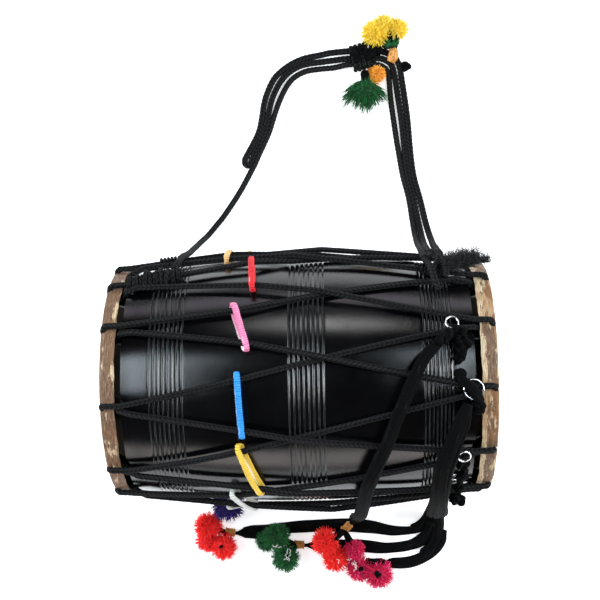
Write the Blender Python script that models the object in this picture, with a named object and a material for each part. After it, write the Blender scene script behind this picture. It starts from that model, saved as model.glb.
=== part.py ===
"""A dhol: a rope-laced barrel drum lying on its side, with its shoulder strap and tassels laid out round it.

X runs along the drum, +Y points to the strap's side, +Z up; the floor is z = 0 and lengths are metres.
"""

import math

import bmesh
import bpy
import numpy as np
from mathutils import Vector
from mathutils.bvhtree import BVHTree

# Driving dimensions of the drum
HALF_LENGTH = 0.280
BELLY_RADIUS = 0.1885
BARREL_CURVE_RADIUS = 1.64
SHELL_WALL = 0.015
MOUTH_RADIUS = 0.147
MOUTH_DEPTH = 0.034
GAP = 0.0003
TURNED_SIDES = 24

# Ends of the shell, measured from the mouth and from the front of the skin's fold
BEARING_SET_BACK = 0.0081
REBATE_WIDTH = 0.0121
SHOULDER_WIDTH = 0.0123
BEARING_LIP = 0.0095
BEARING_X = HALF_LENGTH - BEARING_SET_BACK
REBATE_X = BEARING_X - REBATE_WIDTH
SHOULDER_X = REBATE_X - SHOULDER_WIDTH
REBATE_RADIUS = MOUTH_RADIUS + BEARING_LIP

# Bands of turned grooves round the shell
GROOVE_BANDS = (-0.153, 0.009, 0.186)
GROOVES_IN_BAND = 8
GROOVE_PITCH = 0.0070
GROOVE_DEPTH = 0.0013

# Iron hoop, hung clear of the rebate, and the skin lapped round it
HOOP_ROOM = 0.0115
HOOP_THICKNESS = 0.0042
HOOP_WIDTH = 0.0113
HOOP_SET_BACK = 0.0062
BAND_WIDTH = 0.020
SKIN_THICKNESS = 0.0014
HOOP_INNER_RADIUS = REBATE_RADIUS + HOOP_ROOM
HOOP_OUTER_RADIUS = HOOP_INNER_RADIUS + HOOP_THICKNESS
HOOP_FRONT_X = HALF_LENGTH - HOOP_SET_BACK
HOOP_BACK_X = HOOP_FRONT_X - HOOP_WIDTH
BAND_RADIUS = HOOP_OUTER_RADIUS + GAP + SKIN_THICKNESS

# Rope lacing
ROPE_RADIUS = 0.00425
ROPE_OVER_CLEARANCE = 0.0013
ROPE_UNDER_CLEARANCE = 0.0019
ROPE_FRONT_CLEARANCE = 0.0008
ROPE_OVER_BAND = BAND_RADIUS + ROPE_RADIUS + ROPE_OVER_CLEARANCE
ROPE_UNDER_HOOP = HOOP_INNER_RADIUS - ROPE_RADIUS - ROPE_UNDER_CLEARANCE
ROPE_FRONT_X = HOOP_FRONT_X + ROPE_RADIUS + ROPE_FRONT_CLEARANCE
# where the rope leaves the band, where it comes out from under the hoop, and where both run free
LACE_OVER_X = HALF_LENGTH - 0.018
LACE_UNDER_X = HALF_LENGTH - 0.027
LACE_FREE_X = HALF_LENGTH - 0.045
LACE_SHOULDER_ROOM = 0.0048
APEX_HALF_ANGLE = 1.47
CROSSING_LIFT = 0.001
CROSSING_GAP = 0.0009
DEGREES_TO_A_POINT = 5.5
LACE_REST_PLACES = np.linspace(-0.195, 0.195, 7)
LEFT_APEX_ANGLES = (72, 50.5, 24.5, -13, -48, -71, -101, -133, -165, -195, -227, -258)
RIGHT_APEX_ANGLES = (84, 54, 24.5, -6.5, -38.5, -68.5, -98, -130, -165, -195, -222, -249)
LACES = len(LEFT_APEX_ANGLES)

# Tuning rings: a flat loop round the two ropes of each left V
RING_THICKNESS = 0.0030
RING_CLEARANCE = 0.0006
RING_WIDTH = 0.0095
RING_END_SLACK = 0.0019
RING_UNDER_ROOM = 0.0010
RING_STOP_X = -0.205
HITCHED_RING_STOP_X = -0.167
RING_PINCH = 1.5
RING_LABELS = ("cream", "red", "pink", "blue", "yellow", "white", "white_low",
               "cream_rear", "red_rear", "pink_rear", "blue_rear", "yellow_rear")
HIDDEN_RING_X = -0.080
# place on the upper rope, angle there, place on the lower rope, angle there
SEEN_RINGS = (
    (-0.107, 83.0, -0.107, 68.0),
    (-0.068, 60.7, -0.064, 42.5),
    (-0.086, 29.8, -0.070, 14.2),
    (-0.082, 0.0, -0.078, -22.0),
    (-0.083, -31.0, -0.060, -53.1),
    (-0.097, -60.4, -0.075, -74.0),
    (-0.112, -91.0, -0.088, -106.5),
)

# Strap, its lashings and its knot
STRAP_RADIUS = 0.00425
STRAP_STEP = 0.0255
HITCH_CORD_RADIUS = 0.0021
HITCH_TURNS = 3
COIL_POINTS = 12
KNOT_HEIGHT = 2 * HITCH_CORD_RADIUS + STRAP_RADIUS + 0.0012

# Tassels: cord radii, steel rings and the yarn balls
CORD_THICK = 0.0070
CORD_THIN = 0.0065
CORD_FOUR = 0.0080
CORD_BUNDLE = 0.0110
STEEL_WIRE_RADIUS = 0.0014
RING_LEAN = 0.09
COLLAR_SIDES = 10
LUMP_WAVE = 0.06
SETTLE_STEP = 0.0005
DROP_HEIGHT = 0.09
BINDING_SET_BACK = 0.013
BINDING_LENGTH = 0.012
CORD_FINE = 0.0030

ROPE_BLACK = (0.012, 0.012, 0.013)
COTTON = ("black_rope", ROPE_BLACK, 0.9)
settled = {}
AXIS_HEIGHT = BELLY_RADIUS + GAP + CROSSING_LIFT + 4 * ROPE_RADIUS + CROSSING_GAP + 0.0002


def clear_scene():
    for item in list(bpy.data.objects):
        bpy.data.objects.remove(item, do_unlink=True)


def material(name, colour, roughness, metallic=0.0):
    made = bpy.data.materials.get(name)
    if made is None:
        made = bpy.data.materials.new(name)
        made.use_nodes = True
        shader = made.node_tree.nodes["Principled BSDF"]
        shader.inputs["Base Color"].default_value = (*colour, 1.0)
        shader.inputs["Roughness"].default_value = roughness
        shader.inputs["Metallic"].default_value = metallic
    return made


def link(name, data, finish):
    made = bpy.data.objects.new(name, data)
    bpy.context.scene.collection.objects.link(made)
    data.materials.append(finish)
    return made


def surface(piece):
    """Corners and triangles of a piece as it stands in the scene, with its modifiers."""
    bpy.context.view_layer.update()
    standing = piece.evaluated_get(bpy.context.evaluated_depsgraph_get())
    mesh = standing.to_mesh()
    mesh.calc_loop_triangles()
    corners = [standing.matrix_world @ vertex.co for vertex in mesh.vertices]
    triangles = [tuple(face.vertices) for face in mesh.loop_triangles]
    standing.to_mesh_clear()
    return corners, triangles


def settle(piece, way, farthest=0.03):
    """Slides a piece one way until it would touch a piece made before it, and leaves the usual gap."""
    way = Vector(way).normalized()
    corners, triangles = surface(piece)
    for other in bpy.context.scene.objects:
        if other.type != "EMPTY" and not other.hide_render and other != piece and other.name not in settled:
            settled[other.name] = BVHTree.FromPolygons(*surface(other))

    def touches(shift):
        moved = BVHTree.FromPolygons([corner + way * shift for corner in corners], triangles)
        return any(moved.overlap(tree) for tree in settled.values())

    shift = 0.0
    while touches(shift):
        shift -= SETTLE_STEP
        if shift < -farthest:
            raise ValueError(piece.name + " starts too deep in another piece")
    while shift < farthest and not touches(shift + SETTLE_STEP):
        shift += SETTLE_STEP
    clear, met = shift, shift + SETTLE_STEP
    for halving in range(6):
        middle = (clear + met) / 2
        if touches(middle):
            met = middle
        else:
            clear = middle
    moved = way * (min(clear, farthest) - GAP)
    piece.location += moved
    return moved


def polar(x, radius, degrees):
    """A point at a radius from the drum's axis; 0 degrees is straight up and 90 degrees is +Y."""
    angle = math.radians(degrees)
    return Vector((x, radius * math.sin(angle), AXIS_HEIGHT + radius * math.cos(angle)))


def shell_radius(x):
    return BELLY_RADIUS - x * x / (2 * BARREL_CURVE_RADIUS)


def turned(name, profile, closed, finish):
    """Spins a profile of (x, radius) points once round the drum's axis."""
    mesh = bpy.data.meshes.new(name)
    work = bmesh.new()
    corners = [work.verts.new((x, 0.0, radius)) for x, radius in profile]
    pairs = list(zip(corners, corners[1:]))
    if closed:
        pairs.append((corners[-1], corners[0]))
    edges = [work.edges.new(pair) for pair in pairs]
    bmesh.ops.spin(work, geom=corners + edges, cent=(0, 0, 0), axis=(1, 0, 0),
                   angle=2 * math.pi, steps=TURNED_SIDES, use_merge=True)
    bmesh.ops.remove_doubles(work, verts=work.verts, dist=1e-6)
    bmesh.ops.recalc_face_normals(work, faces=work.faces)
    bmesh.ops.translate(work, verts=work.verts, vec=(0, 0, AXIS_HEIGHT))
    work.to_mesh(mesh)
    work.free()
    mesh.shade_smooth()
    mesh.set_sharp_from_angle(angle=math.radians(35))
    return link(name, mesh, finish)


def make_shell():
    """A hollow barrel with three bands of turned grooves and a bearing edge at each end."""
    outer = [(-SHOULDER_X, shell_radius(SHOULDER_X))]
    for centre in GROOVE_BANDS:
        for index in range(GROOVES_IN_BAND):
            middle = centre + (index - (GROOVES_IN_BAND - 1) / 2) * GROOVE_PITCH
            outer.append((middle - GROOVE_PITCH / 2, shell_radius(middle)))
            outer.append((middle, shell_radius(middle) - GROOVE_DEPTH))
        outer.append((middle + GROOVE_PITCH / 2, shell_radius(middle)))
    for x in (-0.21, -0.074, 0.096):
        outer.append((x, shell_radius(x)))
    outer.append((SHOULDER_X, shell_radius(SHOULDER_X)))
    outer.sort()
    end = [(REBATE_X, REBATE_RADIUS), (BEARING_X - 0.003, REBATE_RADIUS - 0.0004),
           (BEARING_X, REBATE_RADIUS - 0.004),
           (BEARING_X, MOUTH_RADIUS + 0.0015), (BEARING_X - 0.0015, MOUTH_RADIUS),
           (BEARING_X - MOUTH_DEPTH, MOUTH_RADIUS)]
    inner = [(x, shell_radius(x) - SHELL_WALL) for x in (0.205, 0.08, -0.08, -0.205)]
    far_end = [(-x, radius) for x, radius in reversed(end)]
    return turned("barrel_shell", outer + end + inner + far_end, True,
                  material("black_lacquer", (0.01, 0.01, 0.012), 0.12))


def skin_profile(side):
    """Flat head, ramp up to the hoop, a fold round its front and a lap along the band."""
    inside = SKIN_THICKNESS
    head_x = BEARING_X + GAP + inside
    face = HALF_LENGTH
    fold = HOOP_INNER_RADIUS + 0.0010
    outer = [(head_x, 0.0), (head_x, REBATE_RADIUS - 0.0065), (head_x + 0.0028, fold - 0.0070),
             (face, fold), (face, fold + 0.0030), (face - 0.0022, BAND_RADIUS), (face - BAND_WIDTH, BAND_RADIUS)]
    lap = HOOP_OUTER_RADIUS + GAP
    inner = [(face - BAND_WIDTH, lap), (face - 0.0036, lap), (face - 0.0018, fold),
             (head_x - inside, REBATE_RADIUS - 0.0050), (head_x - inside, 0.0)]
    return [(side * x, radius) for x, radius in outer + inner]


def make_hoop(name, side):
    soft = 0.0012
    profile = [(HOOP_BACK_X, HOOP_INNER_RADIUS), (HOOP_FRONT_X - soft, HOOP_INNER_RADIUS),
               (HOOP_FRONT_X, HOOP_INNER_RADIUS + soft), (HOOP_FRONT_X, HOOP_OUTER_RADIUS - soft),
               (HOOP_FRONT_X - soft, HOOP_OUTER_RADIUS), (HOOP_BACK_X, HOOP_OUTER_RADIUS)]
    return turned(name, [(side * x, radius) for x, radius in profile], True,
                  material("iron", (0.2, 0.2, 0.2), 0.5, 1.0))


def line_slope():
    """Rise of the left ropes: steep enough for a ring to pass between them and the shell."""
    room = ROPE_RADIUS + RING_CLEARANCE + RING_THICKNESS + RING_UNDER_ROOM
    places = np.linspace(-0.21, -0.06, 31)
    return float(max((shell_radius(places) + room - ROPE_OVER_BAND) / (places + LACE_OVER_X)))


def lifted_line(x):
    """Height of the rope centre between the left hoop and the tuning rings, as a straight line."""
    return ROPE_OVER_BAND + line_slope() * (x + LACE_OVER_X)


def rope_floor(x):
    """Radius of a rope centre that lies on the shell."""
    return shell_radius(x) + GAP + ROPE_RADIUS


def taut(points):
    """A string pulled tight over the barrel between fixed (x, radius) points, as its upper hull."""
    start, end = points[0][0], points[-1][0]
    places = [x for x in LACE_REST_PLACES if start + 0.01 < x < end - 0.01]
    grid = [(x, rope_floor(x) + GAP) for x in places]
    hull = []
    for point in sorted(list(points) + grid):
        while len(hull) >= 2:
            (ax, ar), (bx, br) = hull[-2], hull[-1]
            if (br - ar) * (point[0] - ax) <= (point[1] - ar) * (bx - ax):
                hull.pop()
            else:
                break
        hull.append(point)
    return hull


def ring_seat(index):
    """Where the tuning ring of a left V holds its upper and its lower rope: x and angle of each."""
    if index < len(SEEN_RINGS):
        return SEEN_RINGS[index]
    share = (HIDDEN_RING_X + HALF_LENGTH) / (2 * HALF_LENGTH)
    apex = LEFT_APEX_ANGLES[index]
    above = right_angle(index - 1)
    below = right_angle(index + 1)
    return (HIDDEN_RING_X, apex + share * (above - apex) - RING_PINCH,
            HIDDEN_RING_X, apex + share * (below - apex) + RING_PINCH)


def left_angle(index):
    return LEFT_APEX_ANGLES[index % LACES] - 360 * (index // LACES)


def right_angle(index):
    return RIGHT_APEX_ANGLES[index % LACES] - 360 * (index // LACES)


def leg_angles(index, falling):
    """Knots (x, angle) of the rope from left apex index to the right apex below it, or above it."""
    x_upper, upper, x_lower, lower = ring_seat(index % LACES)
    turn = -360 * (index // LACES)
    past_ring = RING_WIDTH / 2 + 0.0015
    end_x = LACE_UNDER_X - 0.001
    if falling:
        return [(-end_x, left_angle(index) - APEX_HALF_ANGLE), (x_lower + past_ring, lower + turn),
                (end_x, right_angle(index + 1) + APEX_HALF_ANGLE)]
    return [(-end_x, left_angle(index) + APEX_HALF_ANGLE), (x_upper + past_ring, upper + turn),
            (end_x, right_angle(index - 1) - APEX_HALF_ANGLE)]


def angle_at(knots, x):
    return float(np.interp(x, [knot[0] for knot in knots], [knot[1] for knot in knots]))


def crossing_x(falling_index):
    """Where the falling rope of a left apex meets the rising rope of the next apex."""
    falling = leg_angles(falling_index, True)
    rising = leg_angles(falling_index + 1, False)
    places = np.linspace(-0.2, 0.2, 4001)
    apart = [abs(angle_at(falling, x) - angle_at(rising, x)) for x in places]
    return float(places[int(np.argmin(apart))])


def leg_points(index, falling):
    """Route of one rope from the left hoop to the right hoop, as (x, radius, angle)."""
    knots = leg_angles(index, falling)
    cross = crossing_x(index if falling else index - 1)
    under = rope_floor(cross) + CROSSING_LIFT
    height = under + 2 * ROPE_RADIUS + CROSSING_GAP if falling else under
    ring_x = knots[1][0]
    left_x = -LACE_FREE_X if falling else -LACE_OVER_X
    free_height = max(ROPE_OVER_BAND + ROPE_OVER_CLEARANCE, rope_floor(LACE_FREE_X))
    right_end = (LACE_OVER_X - 0.004, ROPE_OVER_BAND) if falling else (LACE_FREE_X, free_height)
    bends = 2 + round(abs(knots[1][1] - knots[0][1]) / DEGREES_TO_A_POINT)
    near = [(x, max(lifted_line(x), rope_floor(x) + GAP)) for x in np.linspace(left_x, ring_x, bends)]
    route = near + taut([near[-1], (cross, height)])[1:] + taut([(cross, height), right_end])[1:]
    return [(x, radius, angle_at(knots, x)) for x, radius in route]


def hoop_turn(side, angle):
    """Route round the hoop: over the band, round its front and back out under the hoop."""
    over = angle + APEX_HALF_ANGLE
    under = angle - APEX_HALF_ANGLE
    lean = APEX_HALF_ANGLE
    face = HALF_LENGTH
    middle = (HOOP_INNER_RADIUS + HOOP_OUTER_RADIUS) / 2 + 0.0004
    shoulder = float(np.interp(LACE_UNDER_X, (SHOULDER_X, REBATE_X), (shell_radius(SHOULDER_X), REBATE_RADIUS)))
    route = [(face - 0.0050, ROPE_OVER_BAND - 0.0003, over),
             (face - 0.0017, ROPE_OVER_BAND - 0.0036, angle + 0.7 * lean), (ROPE_FRONT_X, middle, angle),
             (face - 0.0014, ROPE_UNDER_HOOP + 0.0036, angle - 0.7 * lean), (face - 0.0043, ROPE_UNDER_HOOP, under),
             (REBATE_X + 0.0002, ROPE_UNDER_HOOP, under),
             (LACE_UNDER_X, shoulder + ROPE_RADIUS + LACE_SHOULDER_ROOM, under)]
    return [(side * x, radius, degrees) for x, radius, degrees in route]


def lacing_route(parity):
    """One endless rope: left apexes of one parity joined to the right apexes of the other."""
    route = []
    for index in range(parity, LACES + parity, 2):
        route += leg_points(index, True)
        route += hoop_turn(1, right_angle(index + 1))
        route += list(reversed(leg_points(index + 2, False)))
        route += hoop_turn(-1, left_angle(index + 2))
    return [polar(x, radius, degrees) for x, radius, degrees in route]


def tube(name, points, radius, finish, sides_step=2, cyclic=False):
    """A round tube along points, as a bevelled poly curve with closed ends."""
    curve = bpy.data.curves.new(name, "CURVE")
    curve.dimensions = "3D"
    curve.bevel_depth = radius
    curve.bevel_resolution = sides_step
    curve.use_fill_caps = not cyclic
    spline = curve.splines.new("POLY")
    spline.points.add(len(points) - 1)
    for place, point in zip(spline.points, points):
        place.co = (*point, 1.0)
    spline.use_cyclic_u = cyclic
    return link(name, curve, finish)


def smooth_route(points, step, floor_radius):
    """Points a step apart on the Catmull-Rom curve through hand-chosen points, kept on or over the floor."""
    chosen = [Vector(point) for point in points]
    padded = [2 * chosen[0] - chosen[1]] + chosen + [2 * chosen[-1] - chosen[-2]]
    fine = []
    for index in range(len(chosen) - 1):
        a, b, c, d = padded[index:index + 4]
        for part in np.linspace(0, 1, 24, endpoint=False):
            t = float(part)
            fine.append(0.5 * (2 * b + (c - a) * t + (2 * a - 5 * b + 4 * c - d) * t ** 2
                               + (3 * b - a - 3 * c + d) * t ** 3))
    fine.append(chosen[-1])
    lengths = np.concatenate([[0.0], np.cumsum([(q - p).length for p, q in zip(fine, fine[1:])])])
    count = max(2, round(float(lengths[-1]) / step))
    wanted = np.linspace(0, lengths[-1], count + 1)
    columns = [np.interp(wanted, lengths, [point[axis] for point in fine]) for axis in range(3)]
    columns[2] = np.maximum(columns[2], floor_radius + GAP)
    return [Vector(point) for point in zip(*columns)]


def cutter(name, routes, radius):
    """Closed tubes joined in one mesh, to cut rope ways out of a skin."""
    work = bmesh.new()
    for route in routes:
        guide = tube(name + "_guide", route, radius, material("black_rope", ROPE_BLACK, 0.9), 1)
        bpy.context.view_layer.update()
        mesh = bpy.data.meshes.new_from_object(guide.evaluated_get(bpy.context.evaluated_depsgraph_get()))
        work.from_mesh(mesh)
        bpy.data.objects.remove(guide, do_unlink=True)
        bpy.data.meshes.remove(mesh)
    bmesh.ops.remove_doubles(work, verts=work.verts, dist=1e-6)
    bmesh.ops.recalc_face_normals(work, faces=work.faces)
    mesh = bpy.data.meshes.new(name)
    work.to_mesh(mesh)
    work.free()
    made = link(name, mesh, material("black_rope", ROPE_BLACK, 0.9))
    made.hide_render = True
    made.display_type = "WIRE"
    return made


def make_skin(name, side):
    skin = turned(name, skin_profile(side), False, material("rawhide", (0.45, 0.34, 0.24), 0.7))
    angles = [left_angle(i) if side < 0 else right_angle(i) for i in range(LACES)]
    routes = []
    for angle in angles:
        route = [(side * LACE_OVER_X, ROPE_OVER_BAND, angle + APEX_HALF_ANGLE)] + hoop_turn(side, angle)[:-1]
        routes.append([polar(*point) for point in route])
    cut = skin.modifiers.new("rope_ways", "BOOLEAN")
    cut.operation = "DIFFERENCE"
    cut.solver = "EXACT"
    cut.object = cutter(name + "_rope_ways", routes, ROPE_RADIUS + 0.00095)
    return skin


def ring_slide(index):
    """Where a tuning ring sits, the way it slides towards the left hoop, and how far it may go."""
    x_upper, upper, x_lower, lower = ring_seat(index)
    x = (x_upper + x_lower) / 2
    seat = polar(x, lifted_line(x), (upper + lower) / 2)
    out = polar(0.0, 1.0, (upper + lower) / 2) - polar(0.0, 0.0, 0.0)
    way = (Vector((-1.0, 0.0, 0.0)) - line_slope() * out).normalized()
    stop_x = HITCHED_RING_STOP_X if index == 0 else RING_STOP_X
    return seat, way, (x - stop_x) / abs(way.x)


def make_tuning_ring(name, index, colour):
    """A flattened loop: one strand over both ropes of the V, one under them, round ends outside them."""
    x_upper, upper, x_lower, lower = ring_seat(index)
    reach = ROPE_RADIUS + RING_CLEARANCE + RING_THICKNESS / 2
    bend_step = 60
    bend = reach / math.cos(math.radians(bend_step / 2))
    lean = abs(x_upper - x_lower) / (lifted_line(x_upper) * math.radians(upper - lower))
    slack = RING_END_SLACK + RING_WIDTH / 2 * lean

    shares = (0.0, 0.33, 0.67, 1.0)
    facet = math.cos(math.radians((upper - lower) * shares[1] / 2))

    def strand_point(share, lift):
        x = x_lower + share * (x_upper - x_lower)
        return polar(x, (lifted_line(x) + lift) / (facet if lift > 0 else 1.0), lower + share * (upper - lower))

    path = [strand_point(share, reach) for share in shares]
    for share, way in ((1.0, 1), (0.0, -1)):
        rope = strand_point(share, 0.0)
        along = (strand_point(1.0, 0.0) - strand_point(0.0, 0.0)).normalized() * way
        out = polar(rope.x, 1.0, upper if way > 0 else lower) - polar(rope.x, 0.0, 0.0)
        along = (along - along.dot(out) * out).normalized()
        for step in range(3):
            turn = math.radians(bend_step * (1 - step))
            path.append(rope + out * bend * math.sin(turn) * way + along * (bend * math.cos(turn) + slack))
        if way > 0:
            path += [strand_point(other, -reach) for other in reversed(shares)]
    centre = sum(path, Vector()) / len(path)
    length_way = (strand_point(1.0, 0.0) - strand_point(0.0, 0.0)).normalized()
    sideways = Vector((1.0, 0.0, 0.0))
    sideways = (sideways - sideways.dot(length_way) * length_way).normalized()
    section = [(-0.5, 0.0), (-0.34, 0.5), (0.34, 0.5), (0.5, 0.0), (0.34, -0.5), (-0.34, -0.5)]
    work = bmesh.new()
    loops = []
    count = len(path)
    for place in range(count):
        ahead = path[(place + 1) % count] - path[place - 1]
        outward = ahead.cross(sideways).normalized()
        if outward.dot(path[place] - centre) < 0:
            outward = -outward
        wide = sideways * RING_WIDTH
        thick = outward * RING_THICKNESS
        loops.append([work.verts.new(path[place] + wide * across + thick * deep) for across, deep in section])
    for place in range(count):
        here, there = loops[place], loops[(place + 1) % count]
        for side in range(len(section)):
            other = (side + 1) % len(section)
            work.faces.new((here[side], here[other], there[other], there[side]))
    bmesh.ops.recalc_face_normals(work, faces=work.faces)
    mesh = bpy.data.meshes.new(name)
    work.to_mesh(mesh)
    work.free()
    mesh.shade_smooth()
    seat, way, travel = ring_slide(index)
    guide = bpy.data.objects.new(name + "_slide", None)
    bpy.context.scene.collection.objects.link(guide)
    guide.empty_display_type = "SINGLE_ARROW"
    guide.empty_display_size = travel
    guide.location = seat
    guide.rotation_euler = way.to_track_quat("Z", "Y").to_euler()
    bpy.context.view_layer.update()
    ring = link(name, mesh, material(name + "_thread", colour, 0.6))
    ring.parent = guide
    ring.matrix_parent_inverse = guide.matrix_world.inverted()
    return ring


def lace_top(x):
    """Radius over the top of the lacing on the right half of the drum, from the crossings to the hoop."""
    crossing = rope_floor(0.0) + CROSSING_LIFT + 2 * ROPE_RADIUS + CROSSING_GAP
    return crossing + (ROPE_OVER_BAND - crossing) * x / LACE_OVER_X + ROPE_RADIUS + 2 * GAP


def over_drum(x, y, radius):
    """A point of a cord of this radius that lies over the lacing, at a place seen from above."""
    reach = lace_top(x) + GAP + radius
    return (x, y, AXIS_HEIGHT + math.sqrt(reach * reach - y * y))


def on_floor(x, y, radius):
    return (x, y, radius + 0.0003)


def coil_round(name, start, end, up, radii, turns, cord_radius, finish, squareness=1.0):
    """An unbroken helical tube of close turns round a straight line, with its least gap printed."""
    start, end = Vector(start), Vector(end)
    along = (end - start).normalized()
    up = Vector(up)
    up = (up - up.dot(along) * along).normalized()
    side = along.cross(up)
    steps = round(turns * COIL_POINTS)
    points = []
    for step in range(steps + 1):
        share = step / steps
        angle = 2 * math.pi * turns * share
        across = math.copysign(abs(math.cos(angle)) ** squareness, math.cos(angle)) * radii[0]
        rise = math.copysign(abs(math.sin(angle)) ** squareness, math.sin(angle)) * radii[1]
        points.append(start + (end - start) * share + side * across + up * rise)
    gaps = []
    for index, point in enumerate(points):
        for later in points[index + COIL_POINTS // 2:]:
            gaps.append((point - later).length - 2 * cord_radius)
    print(f"{name}: least gap between turns {min(gaps) * 1000:.2f} mm")
    return tube(name, points, cord_radius, finish, 1)


def steel_ring(name, x, y, ring_radius):
    """A round wire ring lying flat on the lacing."""
    place = Vector(over_drum(x, y, STEEL_WIRE_RADIUS + 0.0012))
    out = Vector((0.0, place.y, place.z - AXIS_HEIGHT)).normalized()
    axis = Vector((RING_LEAN, out.y, out.z)).normalized()
    side = axis.orthogonal().normalized()
    other = axis.cross(side)
    points = []
    for step in range(12):
        angle = 2 * math.pi * step / 12
        points.append(place + (side * math.cos(angle) + other * math.sin(angle)) * ring_radius)
    ring = tube(name, points, STEEL_WIRE_RADIUS, material("steel", (0.8, 0.8, 0.82), 0.15, 1.0), 0, True)
    settle(ring, -out)


def lump(name, place, size, finish, stem=(0.0, 0.0, 0.0)):
    """A closed lumpy ball for a pompom or a knot; a pompom's side may be drawn out into its stem."""
    stem = Vector(stem)
    stem_way = stem.normalized()
    mesh = bpy.data.meshes.new(name)
    work = bmesh.new()
    bmesh.ops.create_icosphere(work, subdivisions=2, radius=size)
    for vert in work.verts:
        way = vert.co.normalized()
        wave = math.sin(9 * way.x + 2) * math.cos(8 * way.y + 1) * math.sin(7 * way.z + 3)
        vert.co *= 1 - LUMP_WAVE * (1 + wave) / 2
        vert.co += stem * max(0.0, way.dot(stem_way)) ** 8
    bmesh.ops.translate(work, verts=work.verts, vec=place)
    work.to_mesh(mesh)
    work.free()
    mesh.shade_smooth()
    return link(name, mesh, finish)


def collar(name, start, end, bore, outer, finish):
    """A thread binding: a short open sleeve round a cord, with a swelled middle."""
    start, end = Vector(start), Vector(end)
    along = (end - start).normalized()
    side = along.orthogonal().normalized()
    other = along.cross(side)
    profile = [(0.0, bore), (0.0, outer * 0.93), (0.5, outer), (1.0, outer * 0.93), (1.0, bore)]
    work = bmesh.new()
    rings = []
    for share, radius in profile:
        ring = []
        for step in range(COLLAR_SIDES):
            angle = 2 * math.pi * step / COLLAR_SIDES
            way = side * math.cos(angle) + other * math.sin(angle)
            ring.append(work.verts.new(start + (end - start) * share + way * radius))
        rings.append(ring)
    for index, ring in enumerate(rings):
        following = rings[(index + 1) % len(rings)]
        for step in range(COLLAR_SIDES):
            nearby = (step + 1) % COLLAR_SIDES
            work.faces.new((ring[step], ring[nearby], following[nearby], following[step]))
    bmesh.ops.recalc_face_normals(work, faces=work.faces)
    mesh = bpy.data.meshes.new(name)
    work.to_mesh(mesh)
    work.free()
    mesh.shade_smooth()
    return link(name, mesh, finish)


def hitch_line(index, falling, x):
    """A point on the axis of one rope of the lacing, near a hoop."""
    route = leg_points(index, falling)
    radius = float(np.interp(x, [point[0] for point in route], [point[1] for point in route]))
    angle = float(np.interp(x, [point[0] for point in route], [point[2] for point in route]))
    return radius, angle, polar(x, radius, angle)


def make_hitch(name, index, falling, from_x, to_x):
    """The strap's lashing: close turns of thinner cord round one rope of the lacing."""
    radius, angle, start = hitch_line(index, falling, from_x)
    end = hitch_line(index, falling, to_x)[2]
    out = polar(0.0, 1.0, angle) - polar(0.0, 0.0, angle)
    reach = ROPE_RADIUS + 2.5 * GAP + HITCH_CORD_RADIUS
    coil_round(name, start, end, out, (reach, reach), HITCH_TURNS, HITCH_CORD_RADIUS, material(*COTTON))
    return radius + reach + HITCH_CORD_RADIUS + GAP + STRAP_RADIUS, angle


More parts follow.
